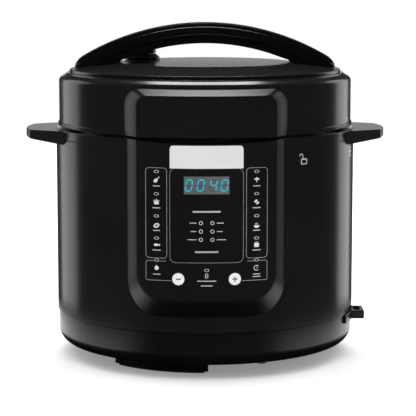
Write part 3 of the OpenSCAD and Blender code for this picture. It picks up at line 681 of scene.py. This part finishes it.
def make_base():
    """Lower bowl with a rounded edge, a centring lip, vent slots and the inlet's opening."""
    floor_z, low, top = BASE_LOW.z + 3, BASE_LOW.z, SHELL_LOW.z - SEAM
    inner = BASE_R - WALL
    wall_in = BODY_R - WALL
    outline = rounded([
        (0, low, 0), (BASE_R, low, 13), (BASE_R, top, 0.5), (wall_in, top, 0),
        (wall_in, BASE_HIGH.z, 0.4), (wall_in - 2, BASE_HIGH.z, 0),
        (inner, top - 3, 0), (inner, floor_z, 10.4), (0, floor_z, 0)], 12)
    base = turned("base_bowl", outline, "base_plastic", "housing", ["base"])
    slots = [prism("slot", pill(-26, 26, i * 12 - 2, i * 12 + 2, 1.9), low - 1, floor_z + 1)
             for i in range(-3, 4)]
    in_low, in_high = node_box("power_inlet")
    inside, behind = 120, 160
    slots.append(block((in_low.x, inside, in_low.z), (in_high.x, behind, in_high.z)))
    cut_away(base, slots)
    even_normals(base)


def key_circle(node):
    """A key's middle in x and z, and its radius."""
    low, high = node_box(node)
    return (low.x + high.x) / 2, (low.z + high.z) / 2, (high.x - low.x) / 2


def panel_piece(name, foot, face, root_r, body, replaced, cutters=(), bow=0.0):
    """One half of the raised panel: tapered wall in gloss black and a satin film on its round face."""
    panel = piece(name, panel_block(name, foot, face, root_r, bow), "panel_side", body, replaced,
                  more=["panel_film"])
    if cutters:
        cut_away(panel, cutters)
    for polygon in panel.data.polygons:
        if polygon.center.xy.length > (FACE_R - 0.12) * MM:
            polygon.material_index = 1
    even_normals(panel)


def make_panel():
    """Control panel on the housing, with a well for each key."""
    before, floor_y = -200, -144.5
    wells = []
    for node in ("minus_key", "plus_key"):
        key_x, key_z, radius = key_circle(node)
        wells.append(prism("well", circle_points(key_x, key_z, radius + 0.3, 40), before, floor_y, "y"))
    panel_piece("control_panel", dict(PANEL_FOOT, high=PANEL_TOP, corner_high=0.0),
                dict(PANEL_FACE, high=PANEL_TOP, corner_high=0.0), BODY_R - 1, "housing",
                ["panel_bezel", "panel_overlay"], wells, PANEL_BOW)


def make_lid_panel():
    """The same block carried on across the seam, on the lid."""
    seam_z = LID_LOW.z + 0.3
    reach_share = (FACE_R - BODY_R) / (FACE_R - LID_R)
    top = PANEL_FACE["high"] + (PANEL_FOOT["high"] - PANEL_FACE["high"]) * reach_share
    panel_piece("lid_front_panel", dict(PANEL_FOOT, low=seam_z, corner_low=0.0, high=top),
                dict(PANEL_FACE, low=seam_z, corner_low=0.0), LID_R - 1, "lid", ["lid_panel"])


def make_side_handle(side):
    """Hollow ledge that wraps the body at its root, with a sloping underside."""
    tip, half = GRIP_HIGH.x - 0.6, 33
    root_half = GRIP_HIGH.y
    root_z, tip_z, top = GRIP_LOW.z, GRIP_LOW.z + 5.5, GRIP_HIGH.z
    hidden = 128.5
    plan = rounded([(hidden, -root_half, 3), (tip - 4.5, -half, 9), (tip, -half / 3, 30), (tip, half / 3, 30),
                    (tip - 4.5, half, 9), (hidden, root_half, 3)], 8)
    root_r = BODY_R - 0.8
    angle = math.asin((root_half - 1) / root_r)
    root = [(root_r * math.cos(a), root_r * math.sin(a)) for a in evenly(angle, -angle, 40)]
    outline = [p for p in plan if math.hypot(*p) > BODY_R] + root

    def underside(x):
        return root_z + (tip_z - root_z) * max(0.0, (x - BODY_R) / (tip - BODY_R))

    mesh = capped("handle", [[(x, y, underside(x)) for x, y in outline], [(x, y, top) for x, y in outline]])
    hollow = prism("hollow", pill(BODY_R + 7, tip - 6, -half + 7, half - 7, 5), root_z - 1, top - 3)
    name = "left" if side < 0 else "right"
    handle = piece("side_grip_" + name, mesh, "grip_black", "housing", ["side_handle_" + name])
    cut_away(handle, [hollow])
    if side < 0:
        for vertex in handle.data.vertices:
            vertex.co.x = -vertex.co.x
        handle.data.flip_normals()
    soften(handle, 1.3, 4, 35)


def make_feet():
    """Three curved feet with rubber pads let into their undersides."""
    top = BASE_LOW.z + 0.5
    pad = 1.5
    spots = {"front_foot": (98, 110.5, -50, 1), "right_foot": (113, 125, 88, 112),
             "rear_foot": (98, 110.5, -150, -124)}
    for node, (r_in, r_out, start, end) in spots.items():
        shape = arc_prism(node, r_in, r_out, start, end, pad, top)
        soften(piece(node + "_shell", shape, "base_plastic", "housing", [node]), 1.0)


def arc_prism(name, r_in, r_out, start, end, low, high, steps=32):
    """A curved bar between two radii and two azimuths, counted from the front towards +X."""
    angles = evenly(math.radians(start), math.radians(end), steps)
    outline = [(r_out * math.sin(a), -r_out * math.cos(a)) for a in angles]
    outline += [(r_in * math.sin(a), -r_in * math.cos(a)) for a in reversed(angles)]
    return prism(name, outline, low, high)


def make_utensil_holder():
    """Small square loop that stands out of the base on the right, on a curved plate."""
    low, high = node_box("utensil_holder")
    plate = arc_prism("plate", BASE_R - 0.5, BASE_R + 2.4, 68, 90, low.z, high.z)
    holder = piece("loop_plate", plate, "base_plastic", "housing", ["utensil_holder"])
    soften(holder, 0.8)
    outline = [(BASE_R - 4, -29), (high.x, -29), (high.x, -3), (BASE_R - 4, -3)]
    loop = piece("loop_arm", prism("loop", outline, low.z, high.z), "base_plastic")
    cut_away(loop, [block((BASE_R + 2.4, -25, 0), (high.x - 3.2, -7, 100))])
    soften(loop, 0.9)


def make_keys():
    """White round keys with a slightly domed edge, and their minus and plus signs."""
    for name in ("minus_key", "plus_key"):
        key_x, key_z, radius = key_circle(name)
        rings = []
        for r, lift in ((radius, -6.0), (radius, -0.5), (radius - 0.15, -0.2), (radius - 0.5, 0.0),
                        (radius * 0.5, 0.05)):
            edge = circle_points(key_x, key_z, r, 48)
            rings.append([(x, on_face(x, 0)[1] - lift, z) for x, z in edge])
        even_normals(piece(name + "_cap", capped(name, rings), "key_white", name, [name]))
        sign = Print(lambda x, z, lift: (x, on_face(x, z)[1] - 0.1 - lift, z))
        sign.bar(key_x, key_z, 2.3, 0.9)
        if name == "plus_key":
            sign.line([(key_x, key_z - 2.3), (key_x, key_z + 2.3)], 0.9)
        sign.finish(name + "_sign", "key_symbol", name, "key_white")


# ---------------------------------------------------------------- panel graphics

COLUMN_X = 44.2
ICON_ROWS = [181.9, 162.4, 141.6, 124.3]
LABEL_ROWS = [176.7, 157.3, 137.2, 119.6]
OVAL_ROWS = [189.5, 169.8, 150.1, 130.3, 110.6]
INDICATOR_ROWS = [144.5, 137.0, 129.7]
COLUMN_NEAR, COLUMN_FAR = 35.1, 53.7
FIELD_HALF, FIELD_TOP = 32.4, 192.6
LINE = 0.45


def make_frames():
    """Printed outlines round the display field, the two columns and the lower keys."""
    lines = Print(on_face)
    lines.frame(-FIELD_HALF, FIELD_HALF, 109, FIELD_TOP, 5, LINE * 0.8)
    for side in (-1, 1):
        near, far = sorted((side * COLUMN_NEAR, side * COLUMN_FAR))
        lines.frame(near, far, 112.6, 192.8, 3, LINE)
        corner = rounded([(side * 46.8, 110, 0), (side * COLUMN_FAR, 110, 1.5),
                          (side * COLUMN_FAR, 92.6, 1.5), (side * 31.4, 92.6, 0)], 4)
        lines.line(dense(corner, closed=False, pieces=6), LINE)
        lines.line([(side * x, 110) for x in (36.0, 38.8, 41.6)], LINE)
    lines.finish("panel_frames", "print_grey")


def make_indicators():
    """Oval and round indicator rings."""
    rings = Print(on_face)
    for side in (-1, 1):
        for z in OVAL_ROWS:
            rings.ring(side * COLUMN_X, z, 1.9, LINE, squash=0.6)
        for z in INDICATOR_ROWS:
            rings.ring(side * 5.05, z, 1.5, LINE)
    rings.ring(0, 102.4, 1.9, LINE, squash=0.6)
    rings.finish("indicator_rings", "print_white")


def make_labels():
    """Plain bars where a panel of this kind has its captions."""
    bars = Print(on_face)
    for side in (-1, 1):
        for row, z in enumerate(LABEL_ROWS):
            bars.bar(side * COLUMN_X, z, (3.6 if row % 2 else 3.1), 0.9)
        bars.bar(side * COLUMN_X, 98.0, 3.3, 0.9)
        for z, reach in zip(INDICATOR_ROWS, (15, 14, 17)):
            bars.bar(side * (9 + reach) / 2, z, (reach - 9) / 2, 0.8)
    bars.bar(0, 154.5, 12.3, 1.5)
    bars.bar(0, 118.7, 10.2, 1.5)
    bars.bar(0, 92.7, 8.4, 0.9)
    bars.bar(0, 88.5, 5.2, 0.9)
    bars.bar(COLUMN_X, 95.8, 3.6, 0.9)
    bars.finish("caption_bars", "caption_grey")


def tilted(x, z, length, width, angle, steps=16):
    """A turned ellipse's outline."""
    c, s = math.cos(math.radians(angle)), math.sin(math.radians(angle))
    points = []
    for k in range(steps):
        a, b = length * math.cos(TAU * k / steps), width * math.sin(TAU * k / steps)
        points.append((x + a * c - b * s, z + a * s + b * c))
    return points


def draw_drumstick(ink, x, z):
    ink.area(tilted(x - 0.6, z - 0.4, 2.1, 1.5, 45))
    ink.line([(x + 0.9, z + 1.0), (x + 2.2, z + 2.3)], 0.6)
    ink.disc(x + 2.3, z + 2.6, 0.5)


def draw_pot(ink, x, z):
    ink.area(pill(x - 2.2, x + 2.2, z - 2.0, z + 0.9, 0.9, 3))
    ink.line([(x - 2.6, z + 1.5), (x + 2.6, z + 1.5)], 0.5)
    ink.disc(x, z + 2.3, 0.5)


def draw_steak(ink, x, z):
    ink.ribbon(tilted(x, z, 1.5, 0.9, 25), tilted(x, z, 2.7, 2.0, 25))
    ink.disc(x + 0.5, z + 0.2, 0.4)


def draw_fish(ink, x, z):
    ink.area(tilted(x - 0.4, z, 2.1, 1.2, 0))
    ink.area([(x + 1.5, z), (x + 3.0, z + 1.2), (x + 3.0, z - 1.2)])


def draw_leaf(ink, x, z):
    angles = (30, 90, 150)
    for angle, middle in zip(angles, arc_points(x, z, 1.3, 1.3, angles)):
        ink.area(tilted(*middle, 1.3, 0.6, angle))
    ink.line([(x, z), (x, z - 2.2)], 0.5)


def draw_bean(ink, x, z):
    ink.area(tilted(x - 0.7, z + 0.8, 1.7, 1.0, 40))
    ink.area(tilted(x + 0.9, z - 0.9, 1.6, 0.9, 40))


def draw_bowl(ink, x, z):
    ink.area(arc_points(x, z, 2.5, 2.3, range(180, 361, 15)))
    for shift in (-1.0, 0.0, 1.0):
        ink.line([(x + shift, z + 0.6), (x + shift, z + 2.0)], 0.4)


def draw_box(ink, x, z):
    ink.area(pill(x - 2.1, x + 2.1, z - 2.1, z + 1.6, 0.5, 3))
    ink.line([(x - 1.2, z + 2.3), (x + 1.2, z + 2.3)], 0.5)


def draw_clock(ink, x, z):
    ink.disc(x, z, 1.9)
    ink.line([(x, z + 1.9), (x, z + 2.7)], 0.6)


def draw_gauge(ink, x, z):
    ink.line(arc_points(x, z, 2.2, 2.2, range(40, 321, 20)), LINE)
    ink.line([(x, z), (x + 0.9, z + 0.9)], LINE)


def make_icons():
    """Generic pictograms for the programmes."""
    ink = Print(on_face)
    columns = ((-1, (draw_drumstick, draw_pot, draw_steak, draw_fish)),
               (1, (draw_leaf, draw_bean, draw_bowl, draw_box)))
    for side, drawings in columns:
        for draw, z in zip(drawings, ICON_ROWS):
            draw(ink, side * COLUMN_X, z)
    draw_clock(ink, -COLUMN_X, 103.6)
    draw_gauge(ink, COLUMN_X, 103.6)
    ink.ring(0, 98.2, 1.1, 0.4)
    ink.ring(0, 96.2, 1.3, 0.4, squash=0.7)
    ink.finish("programme_icons", "print_white")


def make_label_plate():
    """Blank white field above the display."""
    ink = Print(on_face)
    ink.field(-FIELD_HALF, FIELD_HALF, FIELD_TOP, plate_top, 72)
    ink.finish("white_label", "label_white")


def plate_top(x):
    """Height of the label's upper edge, with its rounded corners."""
    radius, top = 3, 212.7
    over = max(0.0, abs(x) - (FIELD_HALF - radius))
    return top - radius + math.sqrt(max(0.0, radius * radius - over * over))


SEGMENTS = {"0": "abcdef", "4": "bcfg"}


def segment_shapes(width, height, thick):
    """Outlines of the seven segments of a digit that is centred on (0, 0)."""
    w, h, t = width / 2, height / 2, thick / 2
    gap = 0.25

    def flat(z):
        return [(-w + gap, z), (-w + gap + t, z + t), (w - gap - t, z + t), (w - gap, z),
                (w - gap - t, z - t), (-w + gap + t, z - t)]

    def upright(x, z0, z1):
        return [(x, z0 + gap), (x + t, z0 + gap + t), (x + t, z1 - gap - t), (x, z1 - gap),
                (x - t, z1 - gap - t), (x - t, z0 + gap + t)]

    return {"a": flat(h), "g": flat(0), "d": flat(-h), "b": upright(w, 0, h), "c": upright(w, -h, 0),
            "f": upright(-w, 0, h), "e": upright(-w, -h, 0)}


def make_display():
    """Smoked lens and four slanted seven-segment digits behind its face."""
    x0, x1 = WINDOW_LOW.x, WINDOW_HIGH.x
    z0, z1 = WINDOW_LOW.z, WINDOW_HIGH.z
    lens = Print(on_face)
    lens.field(x0, x1, z0, lambda x: z1)
    lens.finish("display_lens", "display_lens", "housing", "display_lens", ["display_window"])
    lit, unlit = Print(digit_place), Print(digit_place)
    slant = math.tan(math.radians(9))
    middle = (z0 + z1) / 2
    shapes = segment_shapes(5.2, 9.6, 1.25)
    for digit, x in zip("0040", (-15.5, -5.2, 6.1, 15.9)):
        for key, outline in shapes.items():
            moved = [(x + a + slant * b, middle + b) for a, b in outline]
            (lit if key in SEGMENTS[digit] else unlit).area(moved)
    lit.finish("lit_segments", "digits", "housing", "display_lens")
    unlit.finish("unlit_segments", "digits_off", "housing", "display_lens")


def digit_place(a, b, lift):
    return on_face(a, b, lift + 2.2 * PRINT_LIFT)


def body_place(azimuth, radius):
    """Places print at an azimuth on the round wall: a runs along the wall, b is the height."""
    def place(a, b, lift):
        angle = math.radians(azimuth) + a / radius
        r = radius + lift
        return (r * math.sin(angle), -r * math.cos(angle), b)
    return place


def make_lock_marks():
    """Open and closed padlock marks on the wall and the pointer on the lid."""
    z = 196
    for name, azimuth, closed in (("open_mark", 38.2, False), ("locked_mark", 72.7, True)):
        ink = Print(body_place(azimuth, BODY_R))
        low, high = -4.2, 1.2
        ink.ribbon(pill(-1.9, 3.1, z + low + 1.0, z + high - 1.2, 0.4, 3),
                   pill(-3.0, 4.2, z + low, z + high, 0.8, 3))
        shift = 0.6 if closed else -2.6
        drop = 0.0 if closed else 0.6
        bow = arc_points(shift, z + high + drop + 1.6, 1.9, 1.9, range(0, 181, 15))
        end = [(shift - 1.9, z + high)] if closed else []
        ink.line([(shift + 1.9, z + high)] + bow + end, 0.9)
        ink.finish(name, "print_white" if closed else "caption_grey")
    pointer = Print(body_place(72.5, LID_R))
    pointer.area([(-2.2, 228), (0.0, 223.2), (2.2, 228)])
    pointer.finish("lid_pointer", "print_white", "lid")


# ---------------------------------------------------------------- lid


def make_lid_ring():
    """Lid skirt with a small lip at its foot and a round shoulder."""
    inner = LID_R - WALL
    low, top = LID_LOW.z, LID_HIGH.z
    seat = DOME_R + 0.4
    outline = rounded([
        (inner, low, 0.3), (LID_R + LID_LIP, low, 0.7), (LID_R + LID_LIP, low + 3.2, 0.5),
        (LID_R, low + 3.8, 0.4), (LID_R, top - 5.0, 5.5),
        (LID_R - 6.8, top - 1.2, 0.8), (LID_R - 7.6, top, 0.5), (seat, top, 0.5),
        (seat, top - 2, 0), (seat - 4.4, top - 2, 0), (seat - 4.4, top - 4.6, 0),
        (inner, top - 4.6, 4)], 10)
    even_normals(turned("lid_skirt", outline, "black_plastic", "lid", ["lid_ring"]))


def make_dome():
    """Lid top: a step at its edge, a long cone and a flat middle, with the valve and float holes."""
    top, step = DOME_HIGH.z, 271.6
    low = LID_HIGH.z - 2
    plateau = 83
    wall = 2.4
    rim = top - 0.5
    outline = rounded([
        (0, top, 0), (0, top - wall, 0), (plateau, rim - wall, 20),
        (DOME_R - 8, step - wall - 0.4, 0), (DOME_R - 8, low, 0), (DOME_R, low, 0),
        (DOME_R, step, 1.0), (plateau, rim, 5), (plateau * 0.5, top - 0.2, 200)], 8)
    dome = turned("lid_top", outline, "lid_plastic", "lid", ["lid_dome"])
    under, above = 250, 290
    cut_away(dome, [prism("hole", circle_points(*node_middle(node), radius, 48), under, above)
                    for node, radius in (("exhaust_pipe", 8.4), ("float_valve", 6.4))])
    even_normals(dome)


def arch(x, radius, top):
    """Height of an arch of that radius and crown at x."""
    return top - radius + math.sqrt(radius * radius - x * x)


def make_handle_cap():
    """Upper half of the lid's arched handle: a swept section with a stepped side and blunt ends."""
    top_r = 229
    end, depth = CAP_HIGH.x, CAP_HIGH.y
    foot = LID_HIGH.z
    nose = 7.5
    section = [(0.0, 0.0), (0.36, 0.1), (0.64, 0.45), (0.70, 0.9), (0.72, 1.6), (0.73, 3.4), (0.82, 4.27),
               (0.825, 6.8), (0.90, 7.53), (0.905, 9.9), (0.985, 10.68)]
    rings = []
    for share in evenly(-1, 1, 120):
        bent = math.sin(share * math.pi / 2)
        x = end * (bent if abs(share) > 0.8 else share * math.sin(0.4 * math.pi) / 0.8)
        x = max(-end, min(end, x))
        over = max(0.0, abs(x) - (end - nose))
        nip = nose - math.sqrt(max(0.0, nose * nose - over * over))
        z_top = arch(x, top_r, CAP_HIGH.z) - nip * 0.8
        z_low = max(foot, arch(x, JOINT_R, JOINT_TOP)) + nip * 0.1
        half = depth - nip * 0.9
        upper = [(x, -y * half, z_top - drop * (z_top - z_low) / 12) for y, drop in section]
        ring = upper + [(x, -half, z_low + 1), (x, -0.96 * half, z_low)]
        mirrored = [(px, -py, pz) for px, py, pz in reversed(ring[1:])]
        rings.append(ring + mirrored)
    cap = piece("handle_top", capped("handle_cap", rings), "handle_black", "lid", ["handle_cap"], sharp=28)
    even_normals(cap)


def make_handle_core():
    """Lower half of the handle: the recessed underside of the arch and its two legs on the lid."""
    under_r, under = 199, 295.7
    gap = 79
    depth = CAP_HIGH.y - 3
    steps = 64

    reach = 118
    floor_z = DOME_HIGH.z - 8
    outline = [(x, max(arch(x, JOINT_R, JOINT_TOP), floor_z) + 0.5) for x in evenly(-reach, reach, steps)]
    outline.append((reach, floor_z))
    corner = 5
    side = rounded([(gap + 3, floor_z, 0), (gap + 1.5, arch(gap, under_r, under), corner),
                    (gap - 8, arch(gap - 8, under_r, under), 0)], 6)
    outline += side
    outline += [(x, arch(x, under_r, under)) for x in evenly(gap - 12, 12 - gap, steps)]
    outline += [(-x, z) for x, z in reversed(side)]
    outline.append((-reach, floor_z))
    shape = prism("handle_underside", outline, -depth, depth, "y")
    soften(piece("handle_underside", shape, "handle_black", "lid", ["lid_handle"]), 1.4, 4, 40)


def make_valve():
    """Ribbed turning knob of the steam valve on its collar."""
    x, y = node_middle("valve_collar")
    base = DOME_HIGH.z
    collar_outline = rounded([(7, base - 6, 0), (8.4, base - 6, 0),
                              (8.4, base - 0.2, 0), (17, base - 0.2, 0),
                              (17, base + 2.2, 1.2), (13, base + 5.5, 1.5),
                              (7, base + 5.5, 0.6)], 5)
    even_normals(turned("valve_ring", collar_outline, "handle_black", "lid", ["valve_collar"], 96, (x, y)))
    k_low, k_high = node_box("steam_valve")
    knob_outline = rounded([(4.6, k_low.z, 0), (13.3, k_low.z, 0.8),
                            (13.3, k_low.z + 4.5, 0.5), (14.2, k_low.z + 5.5, 0.5),
                            (14.2, k_high.z, 2.2), (10.5, k_high.z, 0.6),
                            (10.0, k_high.z - 0.8, 0.4), (0, k_high.z - 0.8, 0),
                            (0, k_low.z + 9, 0), (4.6, k_low.z + 9, 0)], 5)
    knob = turned("valve_knob", knob_outline, "handle_black", "steam_valve", ["steam_valve"], 120, (x, y))
    cut_away(knob, [prism("groove", circle_points(groove_x, groove_y, 1.5, 16), k_low.z + 7, k_high.z + 1)
                    for groove_x, groove_y in circle_points(x, y, 14.9, 16)])
    bar = prism("bar", pill(x - 9, x + 9, y - 2, y + 2, 1.5), k_high.z - 1, k_high.z - 0.05)
    soften(piece("valve_wing", bar, "handle_black", "steam_valve"), 0.4)
    even_normals(knob)


def make_float():
    """Float valve's pin, flush with the lid until pressure lifts it."""
    low, high = node_box("float_valve")
    top = high.z - 1.4
    outline = rounded([(0, low.z, 0), (6, low.z, 0.5), (6, low.z + 2.4, 0.4),
                       (3.4, low.z + 2.4, 0), (3.4, top - 7, 0),
                       (5.8, top - 7, 0.4), (5.8, top, 1.2), (0, top, 0)], 4)
    pin = turned("float_pin", outline, "float_red", "float", ["float_valve"], 64, node_middle("float_valve"))
    even_normals(pin)


# ---------------------------------------------------------------- pot, cup and what shows when open


def make_pot():
    """Removable pot with a rolled rim and fill rings pressed into its wall."""
    r_in = 110
    t = 1.5
    low, top = POT_LOW.z, POT_HIGH.z
    lip = POT_HIGH.x
    corners = [(0, low, 0), (r_in + t, low, 15), (r_in + t, top - t, 1.0), (lip, top - t, 0.7),
               (lip, top, 0.7), (r_in, top, 2)]
    for mark in (48, 90):
        corners += [(r_in, top - mark, 0.3), (r_in - 0.5, top - mark - 0.6, 0.3),
                    (r_in - 0.5, top - mark - 1.2, 0.3), (r_in, top - mark - 1.8, 0.3)]
    corners += [(r_in, low + 2.5, 14), (0, low + 2.5, 0)]
    even_normals(turned("cooking_pot", rounded(corners, 8), "pot_coating", "pot", ["inner_pot"]))


def make_cup():
    """Condensate cup: a rounded, open, see-through box."""
    low, high = node_box("condensate_cup")
    t = 1.6
    outer = prism("cup", pill(low.x, high.x, low.y, high.y, 4), low.z, high.z)
    cup = piece("drip_cup", outer, "clear_plastic", "cup", ["condensate_cup"])
    inside = pill(low.x + t, high.x - t, low.y + t, high.y - t, 3)
    cut_away(cup, [prism("inside", inside, low.z + t, high.z + 1)])
    soften(cup, 0.6)


def make_inlet():
    """Mains inlet: a rounded socket with a chamfered mouth."""
    low, high = node_box("power_inlet")
    outer = prism("inlet", pill(low.x, high.x, low.z, high.z, 2), low.y, high.y, "y")
    inlet = piece("inlet_socket", outer, "handle_black", "housing", ["power_inlet"])
    mouth = rounded([(-12.2, low.z + 2.5, 1.5), (12.2, low.z + 2.5, 1.5),
                     (12.2, high.z - 6, 1.5), (8, high.z - 2.5, 1.5),
                     (-8, high.z - 2.5, 1.5), (-12.2, high.z - 6, 1.5)], 4)
    cut_away(inlet, [prism("mouth", mouth, high.y - 18, high.y + 1, "y")])
    soften(inlet, 0.5)


def dress_cad_nodes():
    """Gives every CAD node that still shows its slot's procedural material."""
    slots = {s["node"]: s["material_slot"] for s in frame["record"]["subparts"]}
    for node, obj in frame["nodes"].items():
        obj.data.materials.clear()
        obj.data.materials.append(MATERIALS[slots[node]])
        smooth(obj.data, 30)


# ---------------------------------------------------------------- stage


def area_light(name, place, target, width, height, radiance, glossy=True):
    """A flat light of that radiance, turned to face its target."""
    light = bpy.data.lights.new(name, "AREA")
    light.shape = "RECTANGLE"
    light.size, light.size_y = width, height
    light.energy = radiance * width * height * math.pi
    lamp = add_object(name, light)
    lamp.location = place
    lamp.rotation_euler = (Vector(target) - Vector(place)).to_track_quat("-Z", "Y").to_euler()
    lamp.visible_camera = False
    lamp.visible_glossy = glossy


def white_glow(name, strength, base=0.0):
    """A grey or black surface that gives off white light, and its shader."""
    mat, tree, shader = node_tree(name)
    feed(shader, {"Base Color": (base, base, base, 1), "Emission Color": (1, 1, 1, 1),
                  "Emission Strength": strength})
    return mat, tree, shader


def floor_material():
    """Matt white that glows a little, so that the shadow stays pale."""
    mat, _, shader = white_glow("floor_white", 0.24, 0.95)
    feed(shader, {"Roughness": 0.9, "Specular IOR Level": 0.1})
    return mat


def card_glow():
    """The floor as the gloss sees it: bright beside the object, dim in front, fading outwards."""
    mat, tree, shader = white_glow("floor_card_white", 1.0)
    place = tree.nodes.new("ShaderNodeTexCoord").outputs["Object"]
    length = tree.nodes.new("ShaderNodeVectorMath")
    length.operation = "LENGTH"
    feed(length, {0: place})
    reach = length.outputs["Value"]
    parts = tree.nodes.new("ShaderNodeSeparateXYZ")
    feed(parts, {0: place})
    backward = arithmetic(tree, "DIVIDE", parts.outputs["Y"], reach)
    beside = mapped(tree, backward, -0.88, -0.60, 0.08, 1.6, smooth_step=True)
    start = mapped(tree, reach, 0.165, 0.20, 0, 1, smooth_step=True)
    end = mapped(tree, reach, 0.22, 0.35, 1, 0, smooth_step=True)
    near = arithmetic(tree, "MULTIPLY", start, end)
    feed(shader, {"Emission Strength": arithmetic(tree, "MULTIPLY", beside, near)})
    return mat


def stage_object(name, mesh, material, glossy):
    obj = add_object(name, mesh)
    mesh.materials.append(material)
    obj.visible_glossy = glossy
    return obj


def make_room():
    """Pale floor and a white surround that is seen but neither lights the object nor shows in its gloss."""
    disc = prism("floor", circle_points(0, 0, 2200, 96), -10, -0.4)
    stage_object("floor", disc, floor_material(), glossy=False)
    card = arc_prism("floor_card", 160, 360, 0, 360, -0.4, -0.3, 96)
    card = stage_object("floor_card", card, card_glow(), glossy=True)
    card.visible_camera = False
    card.visible_diffuse = False
    card.visible_shadow = False

    wall = [(6500, -4000), (6500, 5000), (0, 6000), (0, 6100), (6600, 5100), (6600, -4100), (0, -4100),
            (0, -4000)]
    white = white_glow("surround_white", 1.0)[0]
    surround = stage_object("surround", lathe("surround", wall, 48), white, glossy=False)
    surround.visible_diffuse = False
    surround.visible_shadow = False

    world = bpy.data.worlds.new("studio")
    bpy.context.scene.world = world
    world.use_nodes = True
    feed(world.node_tree.nodes["Background"], {"Color": (1, 1, 1, 1), "Strength": 0.045})


def make_lights():
    """Two tall side panels for the edge strips, lights above and low behind, and a soft fill."""
    middle = (0, 0, 0.15)
    area_light("left_panel", (-1.50, 1.22, 0.45), middle, 1.10, 1.9, 1.25)
    area_light("right_panel", (1.45, 1.40, 0.45), middle, 0.95, 1.9, 1.5)
    area_light("top_strip", (0, 0.85, 1.9), (0, 0, 0.25), 0.9, 0.5, 11.0)
    area_light("back_low", (0, 2.4, 0.42), (0, 0, 0.28), 1.0, 0.34, 1.1)
    area_light("floor_fill", (0, -0.3, 3.0), (0, -0.3, 0), 5.0, 5.0, 2.0, glossy=False)
    for side in (-1, 0, 1):
        place = (side * 2.6, -0.4 - 2.0 * (side == 0), 1.0)
        area_light("low_fill_%d" % (side + 1), place, (0, 0, 0), 3.0, 1.6, 0.8, glossy=False)


def make_camera():
    """The view is from the front, a little above and a little left of the axis."""
    camera_data = bpy.data.cameras.new("camera")
    camera = add_object("camera", camera_data)
    camera.location = (-0.0173, -1.75, 0.377)
    camera.rotation_euler = (math.radians(90 - 7.8), 0, math.radians(-0.6623))
    camera_data.lens = 159.12
    camera_data.sensor_width = 36.0
    bpy.context.scene.camera = camera
    bpy.context.scene.view_settings.view_transform = "Standard"


def build():
    """Makes every piece, then the stage, the lights and the camera."""
    dress_cad_nodes()
    for make in (make_shell, make_rim, make_base, make_panel):
        make()
    for side in (1, -1):
        make_side_handle(side)
    for make in (make_feet, make_utensil_holder, make_keys, make_frames, make_indicators, make_labels,
                 make_icons, make_label_plate, make_display, make_lock_marks, make_lid_ring, make_dome,
                 make_lid_panel, make_handle_cap, make_handle_core, make_valve, make_float, make_pot,
                 make_cup, make_inlet, make_room, make_lights, make_camera):
        make()


build()
